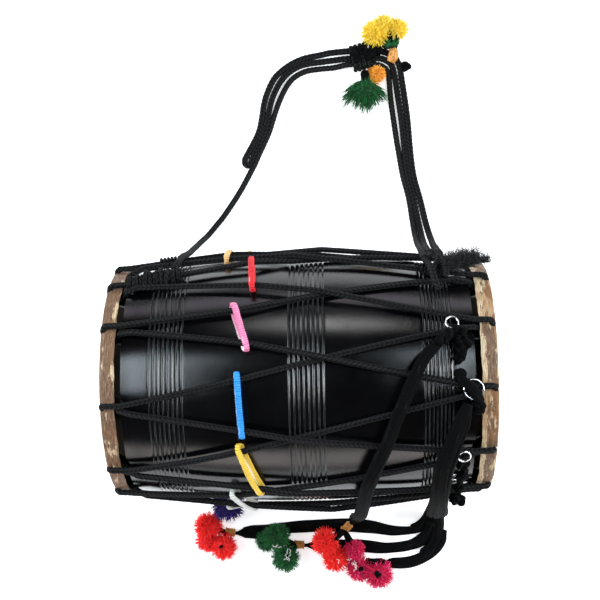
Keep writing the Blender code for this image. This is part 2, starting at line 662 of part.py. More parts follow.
def make_strap():
    """One rope and one doubled rope, joined by a knot, both ends lashed to the lacing."""
    flat = STRAP_RADIUS
    reach, angle = make_hitch("strap_left_hitch", 0, False, -0.212, -0.180)
    single = [polar(-0.1950, reach - 0.0010, angle - 6.0), polar(-0.1880, reach + 0.0022, angle + 2.0),
              polar(-0.1830, reach + 0.0036, angle + 9.0), (-0.1800, 0.2060, 0.170), (-0.1788, 0.2140, 0.120),
              (-0.1781, 0.2240, 0.080), (-0.1755, 0.2355, 0.045), (-0.1690, 0.2515, 0.0140),
              on_floor(-0.1560, 0.2700, flat), on_floor(-0.1405, 0.2885, flat), on_floor(-0.1093, 0.3320, flat),
              on_floor(-0.0850, 0.3735, flat), on_floor(-0.0760, 0.3925, flat), on_floor(-0.0580, 0.4324, flat),
              on_floor(-0.0505, 0.4570, flat), on_floor(-0.0410, 0.4870, flat), on_floor(-0.0313, 0.5090, flat),
              on_floor(-0.0205, 0.5262, flat), on_floor(-0.0085, 0.5370, flat), on_floor(0.0110, 0.5455, flat),
              on_floor(0.0356, 0.5480, flat), on_floor(0.0600, 0.5490, flat), (0.0850, 0.5522, KNOT_HEIGHT),
              (0.1050, 0.5525, KNOT_HEIGHT), (0.1300, 0.5524, KNOT_HEIGHT), (0.1490, 0.5470, 0.0075),
              on_floor(0.1570, 0.5340, flat), on_floor(0.1610, 0.4926, flat), on_floor(0.1655, 0.4529, flat),
              on_floor(0.1712, 0.3989, flat), on_floor(0.1772, 0.3527, flat), on_floor(0.1865, 0.3129, flat),
              on_floor(0.1925, 0.2760, flat), (0.1960, 0.2500, 0.017), (0.1965, 0.2340, 0.045),
              (0.1955, 0.2200, 0.090), (0.1935, 0.2080, 0.150), (0.1910, 0.2000, 0.200), (0.1885, 0.1880, 0.262)]
    reach, angle = make_hitch("strap_right_hitch", 0, True, 0.185, 0.221)
    single.append(polar(0.1890, reach, angle + 0.5))
    tube("strap_rope", smooth_route(single, STRAP_STEP, flat), flat, material(*COTTON))
    onward = [polar(0.1990, reach, angle + 0.5), (0.1985, 0.1880, 0.262), (0.2010, 0.2000, 0.200),
              (0.2035, 0.2080, 0.150), (0.2055, 0.2200, 0.090), (0.2065, 0.2340, 0.045), (0.2060, 0.2500, 0.017),
              on_floor(0.2030, 0.2757, flat), on_floor(0.1972, 0.3127, flat), on_floor(0.1880, 0.3524, flat),
              on_floor(0.1820, 0.3987, flat), on_floor(0.1765, 0.4526, flat), on_floor(0.1720, 0.4923, flat),
              on_floor(0.1678, 0.5339, flat), on_floor(0.1620, 0.5550, flat), (0.1470, 0.5640, 0.0085),
              (0.1300, 0.5655, KNOT_HEIGHT), (0.1050, 0.5655, KNOT_HEIGHT), (0.0850, 0.5652, KNOT_HEIGHT),
              on_floor(0.0545, 0.5625, flat), on_floor(0.0371, 0.5600, flat), on_floor(0.0180, 0.5575, flat),
              on_floor(0.0000, 0.5532, flat), on_floor(-0.0185, 0.5427, flat), on_floor(-0.0335, 0.5275, flat),
              on_floor(-0.0450, 0.5088, flat), on_floor(-0.0540, 0.4873, flat), on_floor(-0.0612, 0.4569, flat),
              on_floor(-0.0680, 0.4340, flat), on_floor(-0.0865, 0.3935, flat)]
    bight = [on_floor(-0.0900, 0.3845, flat), on_floor(-0.0927, 0.3795, flat), on_floor(-0.0962, 0.3776, flat),
             on_floor(-0.0998, 0.3800, flat), on_floor(-0.1010, 0.3855, flat)]
    back = [on_floor(-0.0985, 0.3935, flat), on_floor(-0.0785, 0.4330, flat), on_floor(-0.0718, 0.4571, flat),
            on_floor(-0.0660, 0.4877, flat), on_floor(-0.0580, 0.5100, flat), on_floor(-0.0455, 0.5325, flat),
            on_floor(-0.0295, 0.5472, flat), on_floor(-0.0110, 0.5590, flat), on_floor(0.0090, 0.5670, flat),
            on_floor(0.0373, 0.5730, flat), on_floor(0.0545, 0.5770, flat), (0.0850, 0.5788, KNOT_HEIGHT),
            (0.1050, 0.5785, KNOT_HEIGHT), (0.1300, 0.5785, KNOT_HEIGHT), (0.1490, 0.5765, 0.0085),
            on_floor(0.1690, 0.5665, flat), on_floor(0.1770, 0.5480, flat), on_floor(0.1786, 0.5336, flat),
            on_floor(0.1830, 0.4920, flat), on_floor(0.1877, 0.4523, flat), on_floor(0.1928, 0.3984, flat),
            on_floor(0.1988, 0.3522, flat), on_floor(0.2080, 0.3124, flat), on_floor(0.2145, 0.2755, flat),
            (0.2190, 0.2500, 0.017), (0.2210, 0.2340, 0.045), (0.2205, 0.2200, 0.090), (0.2185, 0.2080, 0.150),
            (0.2160, 0.2000, 0.200), (0.2130, 0.1880, 0.262), polar(0.2120, reach, angle + 4)]
    doubled = smooth_route(onward, STRAP_STEP, flat) + [Vector(point) for point in bight]
    doubled += smooth_route(back, STRAP_STEP, flat)
    tube("strap_doubled_rope", doubled, flat, material(*COTTON))
    coil_round("strap_top_knot", (0.093, 0.5655, KNOT_HEIGHT), (0.122, 0.5655, KNOT_HEIGHT), (0, 0, 1),
               (0.013 + STRAP_RADIUS + 0.0006 + HITCH_CORD_RADIUS, STRAP_RADIUS + 0.0006 + HITCH_CORD_RADIUS),
               3, HITCH_CORD_RADIUS, material(*COTTON), 0.45)
    tail_reach = ROPE_OVER_BAND + 2 * STRAP_RADIUS + 0.006
    tail = [polar(0.2080, reach + 0.0125, angle - 6), polar(0.2340, tail_reach + 0.004, angle - 3),
            polar(0.2600, tail_reach, angle - 1), polar(0.2840, tail_reach - 0.003, angle)]
    tail = tube("strap_frayed_tail", smooth_route(tail, STRAP_STEP / 2, flat), flat, material(*COTTON))
    settle(tail, polar(0.0, 0.0, 0.0) - polar(0.0, 1.0, angle))


def laid_cord(name, points, radius, knot):
    """A cord on the floor that is slid up to the knot it comes out of; gives its points where they end up."""
    cord = tube(name, points, radius, material(*COTTON))
    way = Vector((knot[0] - points[0].x, knot[1] - points[0].y, 0.0))
    moved = settle(cord, way)
    return [point + moved for point in points]


def pompom(name, place, size, yarn, towards=None, stem=(0.0, 0.0, 0.0)):
    """A ball let down on to the floor or a cord at a place seen from above, then slid up to its neighbour."""
    ball = lump(name, (place[0], place[1], DROP_HEIGHT), size, material(yarn[0] + "_yarn", yarn[1], 0.95), stem)
    settle(ball, (0, 0, -1), DROP_HEIGHT - size)
    if towards is not None:
        settle(ball, (towards[0] - place[0], towards[1] - place[1], 0.0), size)


def make_tassels():
    cotton = material(*COTTON)
    gold = material("gold_thread", (0.55, 0.3, 0.1), 0.5)
    first = [over_drum(0.200, 0.046, CORD_THICK), over_drum(0.176, 0.022, CORD_THICK),
             over_drum(0.144, -0.045, CORD_THICK), over_drum(0.120, -0.106, CORD_THICK),
             over_drum(0.098, -0.157, CORD_THICK), over_drum(0.090, -0.200, CORD_THICK),
             (0.088, -0.2190, AXIS_HEIGHT - 0.02), (0.086, -0.227, 0.11), (0.083, -0.236, 0.050),
             (0.077, -0.247, 0.0265), (0.066, -0.2595, 0.0242), (0.0545, -0.2700, 0.0190)]
    first = smooth_route(first, 0.03, CORD_THICK)
    tube("tassel_cord_one", first, CORD_THICK, cotton)
    knot = lump("ring_knot_a", over_drum(0.2085, 0.0545, 0.011), 0.011, cotton)
    settle(knot, Vector(first[0]) - Vector(over_drum(0.2085, 0.0545, 0.011)))
    steel_ring("steel_ring_a", 0.2200, 0.0755, 0.009)
    bundle = [over_drum(0.2375, -0.0385, CORD_BUNDLE), over_drum(0.229, -0.066, CORD_BUNDLE),
              over_drum(0.217, -0.100, CORD_BUNDLE), over_drum(0.205, -0.137, CORD_BUNDLE),
              over_drum(0.203, -0.178, CORD_BUNDLE), (0.208, -0.2150, AXIS_HEIGHT - 0.02),
              (0.213, -0.221, 0.11), (0.2155, -0.224, 0.050), (0.2165, -0.2285, 0.0180)]
    upper_end = bundle[0]
    bundle = tube("tassel_bundle", smooth_route(bundle, 0.03, CORD_BUNDLE), CORD_BUNDLE, cotton)
    settle(bundle, (0.0, -upper_end[1], AXIS_HEIGHT - upper_end[2]))
    steel_ring("steel_ring_b", 0.2465, -0.0200, 0.0135)
    steel_ring("steel_ring_c", 0.2350, -0.1170, 0.009)
    knot = lump("ring_knot_c", over_drum(0.2360, -0.1400, 0.009), 0.009, cotton)
    settle(knot, polar(0.0, 0.0, 0.0) - polar(0.0, 1.0, -44))
    steel_ring("steel_ring_d", 0.2300, -0.1620, 0.010)
    knot = lump("ring_knot_d", polar(0.2320, lace_top(0.232) + 0.0113, -84), 0.011, cotton)
    settle(knot, polar(0.0, 0.0, 0.0) - polar(0.0, 1.0, -84))
    join = (0.2165, -0.2500, 0.0133)
    knot = lump("tassel_join_knot", join, 0.013, cotton)
    settle(knot, (0, 1, 0))
    second = [on_floor(0.2010, -0.2540, CORD_THIN), on_floor(0.184, -0.2640, CORD_THIN),
              on_floor(0.145, -0.266, CORD_THIN), on_floor(0.106, -0.260, CORD_THIN),
              on_floor(0.052, -0.2555, CORD_THIN), on_floor(-0.013, -0.257, CORD_THIN),
              on_floor(-0.065, -0.262, CORD_THIN), on_floor(-0.100, -0.2655, CORD_THIN),
              (-0.128, -0.2670, 0.0095), (-0.156, -0.2625, 0.0115)]
    second = laid_cord("tassel_cord_two", smooth_route(second, 0.03, CORD_THIN), CORD_THIN, join)
    third = [on_floor(0.2120, -0.2650, CORD_THICK), on_floor(0.199, -0.2790, CORD_THICK),
             on_floor(0.175, -0.290, CORD_THICK), on_floor(0.132, -0.2955, CORD_THICK),
             on_floor(0.091, -0.2915, CORD_THICK), on_floor(0.040, -0.290, CORD_THICK),
             (0.0120, -0.2895, 0.0095), (-0.0100, -0.2885, 0.0112),
             (-0.0345, -0.2870, 0.0120)]
    third = laid_cord("tassel_cord_three", smooth_route(third, 0.03, CORD_THICK), CORD_THICK, join)
    fourth = [on_floor(0.2300, -0.2620, CORD_FOUR), on_floor(0.2250, -0.288, CORD_FOUR),
              on_floor(0.200, -0.3095, CORD_FOUR), on_floor(0.160, -0.3180, CORD_FOUR),
              on_floor(0.129, -0.3170, CORD_FOUR)]
    fourth = laid_cord("tassel_cord_four", smooth_route(fourth, 0.03, CORD_FOUR), CORD_FOUR, join)
    for name, ends, bore in (("gold_binding_one", (first[-2], first[-1]), CORD_THICK),
                             ("gold_binding_two", (second[-2], second[-1]), CORD_THIN),
                             ("gold_binding_three", (third[-2], third[-1]), CORD_THICK)):
        tip = Vector(ends[1])
        back = (Vector(ends[0]) - tip).normalized()
        lower = tip + back * BINDING_SET_BACK
        collar(name, lower + back * BINDING_LENGTH, lower, bore + 0.0008, bore + 0.0024, gold)
    red = ("red", (0.85, 0.03, 0.03))
    pompom("pompom_red_1", (-0.1730, -0.2520), 0.0190, red, second[-1])
    pompom("pompom_red_2", (-0.1445, -0.2900), 0.0180, red, second[-1])
    pompom("pompom_red_3", (-0.1830, -0.2830), 0.0115, red, (-0.1700, -0.2600))
    green = ("green", (0.01, 0.12, 0.03))
    pompom("pompom_green_1", (-0.0535, -0.2640), 0.0165, green)
    pompom("pompom_green_2", (-0.0780, -0.2840), 0.0130, green, (-0.0535, -0.2640))
    pompom("pompom_green_3", (-0.0385, -0.3105), 0.0175, green, third[-1])
    magenta = ("magenta", (0.65, 0.0, 0.15))
    pompom("pompom_magenta_1", (0.1175, -0.3400), 0.0175, magenta, fourth[-1])
    pompom("pompom_magenta_2", (0.0850, -0.3240), 0.0160, magenta, (0.1175, -0.3400))
    pompom("pompom_magenta_3", (0.0815, -0.2935), 0.0120, magenta)
    scarlet = ("scarlet", (0.85, 0.04, 0.03))
    pompom("pompom_scarlet_1", (0.0300, -0.2800), 0.0185, scarlet)
    pompom("pompom_scarlet_2", (0.0470, -0.3110), 0.0165, scarlet, (0.0470, -0.2800))
    yellow = ("yellow", (0.85, 0.62, 0.04))
    pompom("pompom_yellow_1", (0.1320, 0.6190), 0.0175, yellow, (0.1300, 0.5700), (-0.0015, -0.0075, -0.0030))
    pompom("pompom_yellow_2", (0.1610, 0.6200), 0.0135, yellow, (0.1310, 0.6090))
    pompom("pompom_yellow_3", (0.1860, 0.6110), 0.0125, yellow, (0.1590, 0.6190))
    pompom("pompom_orange", (0.1370, 0.5330), 0.0125, ("orange", (0.85, 0.4, 0.05)), (0.1370, 0.5500))
    pompom("pompom_green_top", (0.1145, 0.4930), 0.0205, green, (0.1130, 0.5500), (-0.0005, 0.0340, -0.0105))
    knob = lump("rope_end_knob", (0.2030, 0.5475, 0.0095), 0.009, cotton)
    settle(knob, (-1, 0, 0))
    low_rope = rope_floor(0.078) + ROPE_RADIUS + CORD_FINE + 2 * GAP
    fifth = [polar(-0.078, low_rope, -102), (-0.080, -0.2060, 0.130), (-0.088, -0.2010, 0.070),
             (-0.100, -0.2020, 0.026), (-0.118, -0.2095, 0.0120)]
    fine_cord = tube("tassel_cord_five", smooth_route(fifth, 0.018, CORD_FINE), CORD_FINE, cotton)
    settle(fine_cord, polar(0.0, 0.0, 0.0) - polar(0.0, 1.0, -102))
    pompom("pompom_blue", (-0.1380, -0.2180), 0.0215, ("blue", (0.01, 0.005, 0.15)), fifth[-1])


def main():
    clear_scene()
    make_shell()
    make_skin("left_skin", -1)
    make_skin("right_skin", 1)
    make_hoop("left_hoop", -1)
    make_hoop("right_hoop", 1)
    for parity, name in ((0, "lacing_rope_one"), (1, "lacing_rope_two")):
        tube(name, lacing_route(parity), ROPE_RADIUS, material(*COTTON), 1, True)
    colours = {"cream": (0.9, 0.6, 0.3), "red": (0.6, 0.03, 0.05), "pink": (0.8, 0.25, 0.5),
               "blue": (0.07, 0.3, 0.85), "yellow": (0.85, 0.6, 0.1), "white": (0.8, 0.8, 0.78)}
    for number, label in enumerate(RING_LABELS):
        make_tuning_ring("tuning_ring_" + label, number, colours[label.split("_")[0]])
    make_strap()
    make_tassels()


main()
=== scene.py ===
# %% [markdown]
# # A dhol laid out with its strap and tassels
#
# A dhol is a barrel drum with a skin on each end. One long rope zigzags between the two hoops and
# pulls the skins tight, and small thread-wound rings squeeze its legs together in pairs to tune it.
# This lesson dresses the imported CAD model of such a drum. It loads the CAD as a fixed frame, makes a
# finer piece for each of its parts, and gives each one a finish made of shader nodes.

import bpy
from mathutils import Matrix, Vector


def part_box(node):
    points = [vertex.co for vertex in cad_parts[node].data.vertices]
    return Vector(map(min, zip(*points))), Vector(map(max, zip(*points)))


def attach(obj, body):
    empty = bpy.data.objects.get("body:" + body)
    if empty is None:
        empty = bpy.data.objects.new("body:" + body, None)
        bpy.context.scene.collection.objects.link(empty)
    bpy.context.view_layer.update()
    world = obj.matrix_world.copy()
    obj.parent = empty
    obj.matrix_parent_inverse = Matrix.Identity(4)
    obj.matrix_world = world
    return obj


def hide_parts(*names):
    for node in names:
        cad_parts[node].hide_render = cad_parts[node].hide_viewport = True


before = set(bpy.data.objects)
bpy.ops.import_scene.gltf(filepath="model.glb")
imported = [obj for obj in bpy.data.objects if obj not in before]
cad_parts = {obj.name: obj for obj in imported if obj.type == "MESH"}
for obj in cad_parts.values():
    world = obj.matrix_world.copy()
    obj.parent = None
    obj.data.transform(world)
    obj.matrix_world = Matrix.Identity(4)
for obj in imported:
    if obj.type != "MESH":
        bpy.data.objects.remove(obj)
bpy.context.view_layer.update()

# %% Tools of the lesson
import math

import bmesh
import bpy
import numpy as np
from mathutils import Matrix, Vector

print("nodes in the frame:", len(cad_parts))

# %% [markdown]
# ## The drum's own measures
#
# X runs along the drum, +Y points to the strap and +Z is up. These are the sizes that the CAD was
# built with, in metres, so each new piece lies where its solid lies. A place on the drum is easiest
# to say as x, a distance from the drum's axis, and an angle round it.

# %% Measures
HALF_LENGTH = 0.280
BELLY_RADIUS = 0.1885
BARREL_CURVE_RADIUS = 1.64
SHELL_WALL = 0.015
MOUTH_RADIUS = 0.147
MOUTH_DEPTH = 0.034
GAP = 0.0003
BEARING_X = HALF_LENGTH - 0.0081
REBATE_X = BEARING_X - 0.0121
SHOULDER_X = REBATE_X - 0.0123
REBATE_RADIUS = MOUTH_RADIUS + 0.0095
ROPE_RADIUS = 0.00425
CROSSING_LIFT = 0.001
CROSSING_GAP = 0.0009
AXIS_HEIGHT = BELLY_RADIUS + GAP + CROSSING_LIFT + 4 * ROPE_RADIUS + CROSSING_GAP + 0.0002


def shell_radius(x):
    """The barrel's radius: the belly's, less the square of x over twice the curve's radius."""
    return BELLY_RADIUS - np.square(x) / (2 * BARREL_CURVE_RADIUS)


def polar(x, radius, degrees):
    """Points at a radius from the drum's axis; 0 degrees is straight up and 90 degrees is +Y."""
    angle = np.radians(degrees)
    parts = np.broadcast_arrays(x, radius * np.sin(angle), AXIS_HEIGHT + radius * np.cos(angle))
    return np.stack(parts, axis=-1).astype(float)


print("axis of the drum is", round(AXIS_HEIGHT, 4), "m over the floor")

# %% [markdown]
# ## The camera
#
# The photograph looks straight down on a drum laid on white paper, a little from the right. Its
# place was worked out from points of the drum whose real places are known.

# %% Camera
IMAGE_SIDE = 600
FOCAL_PIXELS = 1109.8
CAMERA_PLACE = (0.0615, 0.0, 1.7416 + AXIS_HEIGHT)
CAMERA_TURNS = {"X": -4.014, "Y": -2.014, "Z": 1.112}

turn = Matrix.Identity(3)
for axis, degrees in CAMERA_TURNS.items():
    turn = Matrix.Rotation(math.radians(degrees), 3, axis) @ turn
lens = bpy.data.cameras.new("camera")
lens.sensor_width = 36
lens.lens = FOCAL_PIXELS / IMAGE_SIDE * lens.sensor_width
camera = bpy.data.objects.new("camera", lens)
bpy.context.scene.collection.objects.link(camera)
camera.matrix_world = Matrix.Translation(CAMERA_PLACE) @ turn.transposed().to_4x4()
bpy.context.scene.camera = camera
print("lens", round(lens.lens, 1), "mm")

# %% [markdown]
# ## Shader maths as sums
#
# A finish is a small network of nodes. Written as Python sums it stays readable: `Wire` wraps one
# socket, and adding or multiplying two wires adds the Math node that does it. `Finish` holds one
# material, and its `node` method makes any other node.

# %% Wires and finishes
class Wire:
    """One output socket of a finish that can take part in sums."""

    def __init__(self, finish, socket):
        self.finish = finish
        self.socket = socket

    def maths(self, operation, first, second):
        return self.finish.node("Math", {"operation": operation}, {0: first, 1: second})

    def __add__(self, other):
        return self.maths("ADD", self, other)

    def __sub__(self, other):
        return self.maths("SUBTRACT", self, other)

    def __rsub__(self, other):
        return self.maths("SUBTRACT", other, self)

    def __mul__(self, other):
        return self.maths("MULTIPLY", self, other)

    def __truediv__(self, other):
        return self.maths("DIVIDE", self, other)

    def __pow__(self, other):
        return self.maths("POWER", self, other)

    def __mod__(self, other):
        return self.maths("FLOORED_MODULO", self, other)

    def __gt__(self, other):
        return self.maths("GREATER_THAN", self, other)

    __radd__ = __add__
    __rmul__ = __mul__


class Finish:
    """One material: its node tree and the shader whose sockets the wires end in."""

    def __init__(self, name, **constants):
        self.material = bpy.data.materials.new(name)
        self.material.use_nodes = True
        self.tree = self.material.node_tree
        self.shader = self.tree.nodes["Principled BSDF"]
        for socket, value in constants.items():
            self.set(socket.replace("_", " ").title(), value)

    def set(self, socket, value):
        """Links a wire to a socket of the shader, or sets the number or colour on it."""
        target = self.shader.inputs[socket]
        if isinstance(value, Wire):
            self.tree.links.new(value.socket, target)
        else:
            target.default_value = (*value, 1.0) if isinstance(value, tuple) and len(value) == 3 else value

    def node(self, kind, settings=None, sockets=None, output=0):
        """Makes a node: its settings first, then the values or wires of its sockets."""
        made = self.tree.nodes.new("ShaderNode" + kind)
        for key, value in (settings or {}).items():
            if key == "stops":
                while len(made.color_ramp.elements) < len(value):
                    made.color_ramp.elements.new(0.5)
                for element, (place, colour) in zip(made.color_ramp.elements, value):
                    element.position = place
                    element.color = (*colour, 1.0)
            else:
                setattr(made, key, value)
        for key, value in (sockets or {}).items():
            if isinstance(value, Wire):
                self.tree.links.new(value.socket, made.inputs[key])
            else:
                made.inputs[key].default_value = value
        return Wire(self, made.outputs[output])

    def place(self):
        """The place on the piece in metres, in the drum's own frame."""
        return self.node("TexCoord", output="Object")

    def split(self, vector):
        return [self.node("SeparateXYZ", {}, {0: vector}, output=k) for k in range(3)]

    def vector(self, x=0.0, y=0.0, z=0.0):
        return self.node("CombineXYZ", {}, {0: x, 1: y, 2: z})

    def pattern(self):
        """Across and along of the piece's own UV map."""
        across, along, _ = self.split(self.node("UVMap", {"uv_map": "UVMap"}))
        return across, along

    def noise(self, vector, scale, detail=3.0, rough=0.5):
        sockets = {"Vector": vector, "Scale": scale, "Detail": detail, "Roughness": rough}
        return self.node("TexNoise", {"noise_dimensions": "3D"}, sockets)

    def between(self, value, low, high, to_low=0.0, to_high=1.0):
        """A value that goes smoothly from one number to another as the wire goes from low to high."""
        sockets = {"Value": value, "From Min": low, "From Max": high, "To Min": to_low, "To Max": to_high}
        return self.node("MapRange", {"interpolation_type": "SMOOTHSTEP"}, sockets)

    def mix(self, share, first, second):
        """A colour between two colours."""
        sockets = {0: share}
        for key, colour in ((6, first), (7, second)):
            sockets[key] = colour if isinstance(colour, Wire) else (*colour, 1.0)
        return self.node("Mix", {"data_type": "RGBA"}, sockets, output=2)

    def ramp(self, value, stops):
        return self.node("ValToRGB", {"stops": stops}, {0: value})

    def bump(self, height, distance, strength=1.0, under=None):
        sockets = {"Height": height, "Distance": distance, "Strength": strength}
        if under is not None:
            sockets["Normal"] = under
        self.set("Normal", self.node("Bump", {}, sockets))

    def sine(self, value):
        return self.node("Math", {"operation": "SINE"}, {0: value})

    def round_axis(self):
        """x, the angle round the drum's axis as a fraction of a turn, and the distance from it."""
        x, y, z = self.split(self.place())
        z = z - AXIS_HEIGHT
        angle = self.node("Math", {"operation": "ARCTAN2"}, {0: y, 1: z}) / (2 * math.pi)
        return x, angle, (y * y + z * z) ** 0.5


print("a finish starts as", Finish("trial").shader.name)

# %% [markdown]
# ## Forms from grids
#
# Each new piece is a grid of points worked out with numpy in one go: rows run along the piece and
# columns go round it. `grid` joins neighbours with four-sided faces and closes the ends with fans.
# A `Form` also keeps where each face corner lies on the piece's own pattern, so that a weave or a
# winding can follow a rope round every bend.

# %% Forms
class Form:
    """Points with four-sided and three-sided faces, and each face corner's place on the pattern."""

    def __init__(self, points, quads, quad_uv, fans=None, fan_uv=None):
        self.points = points
        self.quads = quads
        self.quad_uv = quad_uv
        self.fans = np.zeros((0, 3), int) if fans is None else fans
        self.fan_uv = np.zeros((0, 3, 2)) if fan_uv is None else fan_uv

    def __add__(self, other):
        shift = len(self.points)
        return Form(np.vstack([self.points, other.points]), np.vstack([self.quads, other.quads + shift]),
                    np.vstack([self.quad_uv, other.quad_uv]), np.vstack([self.fans, other.fans + shift]),
                    np.vstack([self.fan_uv, other.fan_uv]))


def grid(points, closed_round=True, closed_along=False, capped=False, across=1.0, along=None):
    """Faces over rows and columns of points, and a fan over each end where it is capped.

    The pattern runs from 0 to `across` round a row, and by `along` from row to row.
    """
    rows, columns = points.shape[:2]
    row = np.arange(rows if closed_along else rows - 1)[:, None, None]
    column = np.arange(columns if closed_round else columns - 1)[None, :, None]
    row, column = np.broadcast_arrays(row + np.array([0, 0, 1, 1]), column + np.array([0, 1, 1, 0]))
    quads = (row % rows * columns + column % columns).reshape(-1, 4)
    along = np.arange(rows + 1, dtype=float) if along is None else np.append(along, 2 * along[-1] - along[-2])
    uv = np.stack([column / columns * across, along[row]], axis=-1).reshape(-1, 4, 2)
    flat = points.reshape(-1, 3)
    if not capped:
        return Form(flat, quads, uv)
    first = np.arange(columns)
    following = (first + 1) % columns
    last = first + (rows - 1) * columns
    poles = np.stack([points[0].mean(0), points[-1].mean(0)])
    fans = np.concatenate([np.stack([following, first, np.full(columns, len(flat))], axis=-1),
                           np.stack([last, following + last[0], np.full(columns, len(flat) + 1)], axis=-1)])
    fan_uv = np.zeros((2 * columns, 3, 2))
    fan_uv[:, :, 0] = np.tile(first / columns * across, 2)[:, None]
    fan_uv[columns:, :, 1] = along[-2]
    return Form(np.vstack([flat, poles]), quads, uv, fans, fan_uv)


def mesh_of(name, form):
    """A smooth mesh from a form, with its pattern as the UV map."""
    mesh = bpy.data.meshes.new(name)
    mesh.vertices.add(len(form.points))
    mesh.vertices.foreach_set("co", form.points.astype(np.float32).ravel())
    corners = np.concatenate([form.quads.ravel(), form.fans.ravel()]).astype(np.int32)
    mesh.loops.add(len(corners))
    mesh.loops.foreach_set("vertex_index", corners)
    starts = np.concatenate([4 * np.arange(len(form.quads)),
                             4 * len(form.quads) + 3 * np.arange(len(form.fans))]).astype(np.int32)
    mesh.polygons.add(len(starts))
    mesh.polygons.foreach_set("loop_start", starts)
    uv = np.concatenate([form.quad_uv.reshape(-1, 2), form.fan_uv.reshape(-1, 2)])
    mesh.uv_layers.new(name="UVMap").data.foreach_set("uv", uv.astype(np.float32).ravel())
    mesh.update(calc_edges=True)
    mesh.shade_smooth()
    return mesh


def piece(name, form, finish, slot, nodes=(), body="drum", sharp=None):
    """Puts a form in the scene as a piece of the drum that stands for CAD nodes.

    What would dip under the floor is pressed flat on it.
    """
    height = form.points[:, 2]
    form.points[:, 2] = np.where(height < 0.0004, 0.0004 + 0.1 * (height - 0.0004), height)
    mesh = mesh_of(name, form)
    if sharp is not None:
        mesh.set_sharp_from_angle(angle=math.radians(sharp))
    made = bpy.data.objects.new(name, mesh)
    bpy.context.scene.collection.objects.link(made)
    mesh.materials.append(finish.material)
    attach(made, body)
    if nodes:
        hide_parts(*nodes)
    return made


def triangles_of(made):
    return sum(len(face.vertices) - 2 for face in made.data.polygons)


print("forms ready")

# %% [markdown]
# ## Profiles carried along paths
#
# A rope, a cord, a wire and a tuning ring are all a cross-section carried along a path. The two
# directions across the path must not spin about it, or the section would wind up like a wrung
# towel, so `frames` measures and takes out every needless turn.

# %% Paths and sweeps
def unit(vectors):
    """Each vector over its own length."""
    return vectors / np.maximum(np.linalg.norm(vectors, axis=-1, keepdims=True), 1e-12)


def frames(path, closed=False, up=None):
    """Two directions across a path at each of its points.

    Along the path is the difference of a point's neighbours. With `up`, the second direction leans as
    near to up as it can. Without it, any pair is taken at each point, the turn from one pair to the
    next is measured, and the running sum of those turns is taken out.
    """
    ring = np.vstack([path[-1:], path, path[:2]]) if closed else path
    ahead = unit(np.gradient(ring, axis=0))
    ahead = ahead[1:-1] if closed else ahead
    if up is not None:
        across = unit(np.cross(np.broadcast_to(up, path.shape), ahead[:len(path)]))
        return across, np.cross(ahead[:len(path)], across)
    across = unit(np.cross(np.eye(3)[np.argmin(np.abs(ahead), axis=1)], ahead))
    if closed:
        ahead[-1] = ahead[0]
        across[-1] = across[0]
    before, after, kept = ahead[:-1], ahead[1:], across[:-1]
    axis = np.cross(before, after)
    same = (before * after).sum(1, keepdims=True)
    carried = kept * same + np.cross(axis, kept) + axis * (axis * kept).sum(1, keepdims=True) / (1 + same)
    turns = np.arctan2((np.cross(carried, across[1:]) * after).sum(1), (carried * across[1:]).sum(1))
    total = np.concatenate([[0.0], np.cumsum(turns)])
    if closed:
        rest = (total[-1] + np.pi) % (2 * np.pi) - np.pi
        total = (total - rest * np.linspace(0, 1, len(total)))[:-1]
    ahead, across = ahead[:len(path)], across[:len(path)]
    across = np.cos(total)[:, None] * across - np.sin(total)[:, None] * np.cross(ahead, across)
    return across, np.cross(ahead, across)


def lengths(path):
    """How far along the path each point is."""
    return np.concatenate([[0.0], np.cumsum(np.linalg.norm(np.diff(path, axis=0), axis=1))])


def spaced(path, step, closed=False):
    """The same path with points a step apart."""
    ring = np.vstack([path, path[:1]]) if closed else path
    along = lengths(ring)
    count = max(2, round(along[-1] / step))
    places = np.linspace(0, along[-1], count + 1)[:count if closed else count + 1]
    return np.stack([np.interp(places, along, ring[:, k]) for k in range(3)], axis=-1)


def through(points, step=0.002):
    """Points a step apart on a smooth curve through chosen points.

    Each span is the Catmull-Rom cubic of its two ends and the points beside them.
    """
    chosen = np.array([tuple(point) for point in points], float)
    padded = np.vstack([2 * chosen[0] - chosen[1], chosen, 2 * chosen[-1] - chosen[-2]])
    t = np.linspace(0, 1, 24, endpoint=False)[None, :, None]
    a, b, c, d = (padded[k:k + len(chosen) - 1, None, :] for k in range(4))
    fine = 0.5 * (2 * b + (c - a) * t + (2 * a - 5 * b + 4 * c - d) * t ** 2 + (3 * b - a - 3 * c + d) * t ** 3)
    return spaced(np.vstack([fine.reshape(-1, 3), chosen[-1:]]), step)


def sweep(path, section, closed=False, up=None, across=1.0):
    """Carries a section along a path: each point is the path's, plus its two parts across and up."""
    side, rise = frames(path, closed, up)
    section = np.broadcast_to(section, (len(path), *section.shape[-2:]))
    points = path[:, None] + section[..., :1] * side[:, None] + section[..., 1:] * rise[:, None]
    return grid(points, closed_along=closed, capped=not closed, across=across, along=lengths(path))


def circle(radius, sides, turn=0.0):
    """A round section: cosine and sine of each step round, times the radius."""
    angle = 2 * np.pi * np.arange(sides) / sides + np.asarray(turn)[..., None]
    return np.stack([np.cos(angle), np.sin(angle)], axis=-1) * np.asarray(radius)[..., None, None]


def relaxed(path, reach):
    """A closed path with its sharp bends eased: every wave shorter than about `reach` fades."""
    step = np.linalg.norm(path[1] - path[0])
    waves = np.fft.rfft(path, axis=0)
    fade = np.exp(-0.5 * (2 * np.pi * np.fft.rfftfreq(len(path), step) * reach) ** 2)
    return np.fft.irfft(waves * fade[:, None], n=len(path), axis=0)


print("sweeps ready")

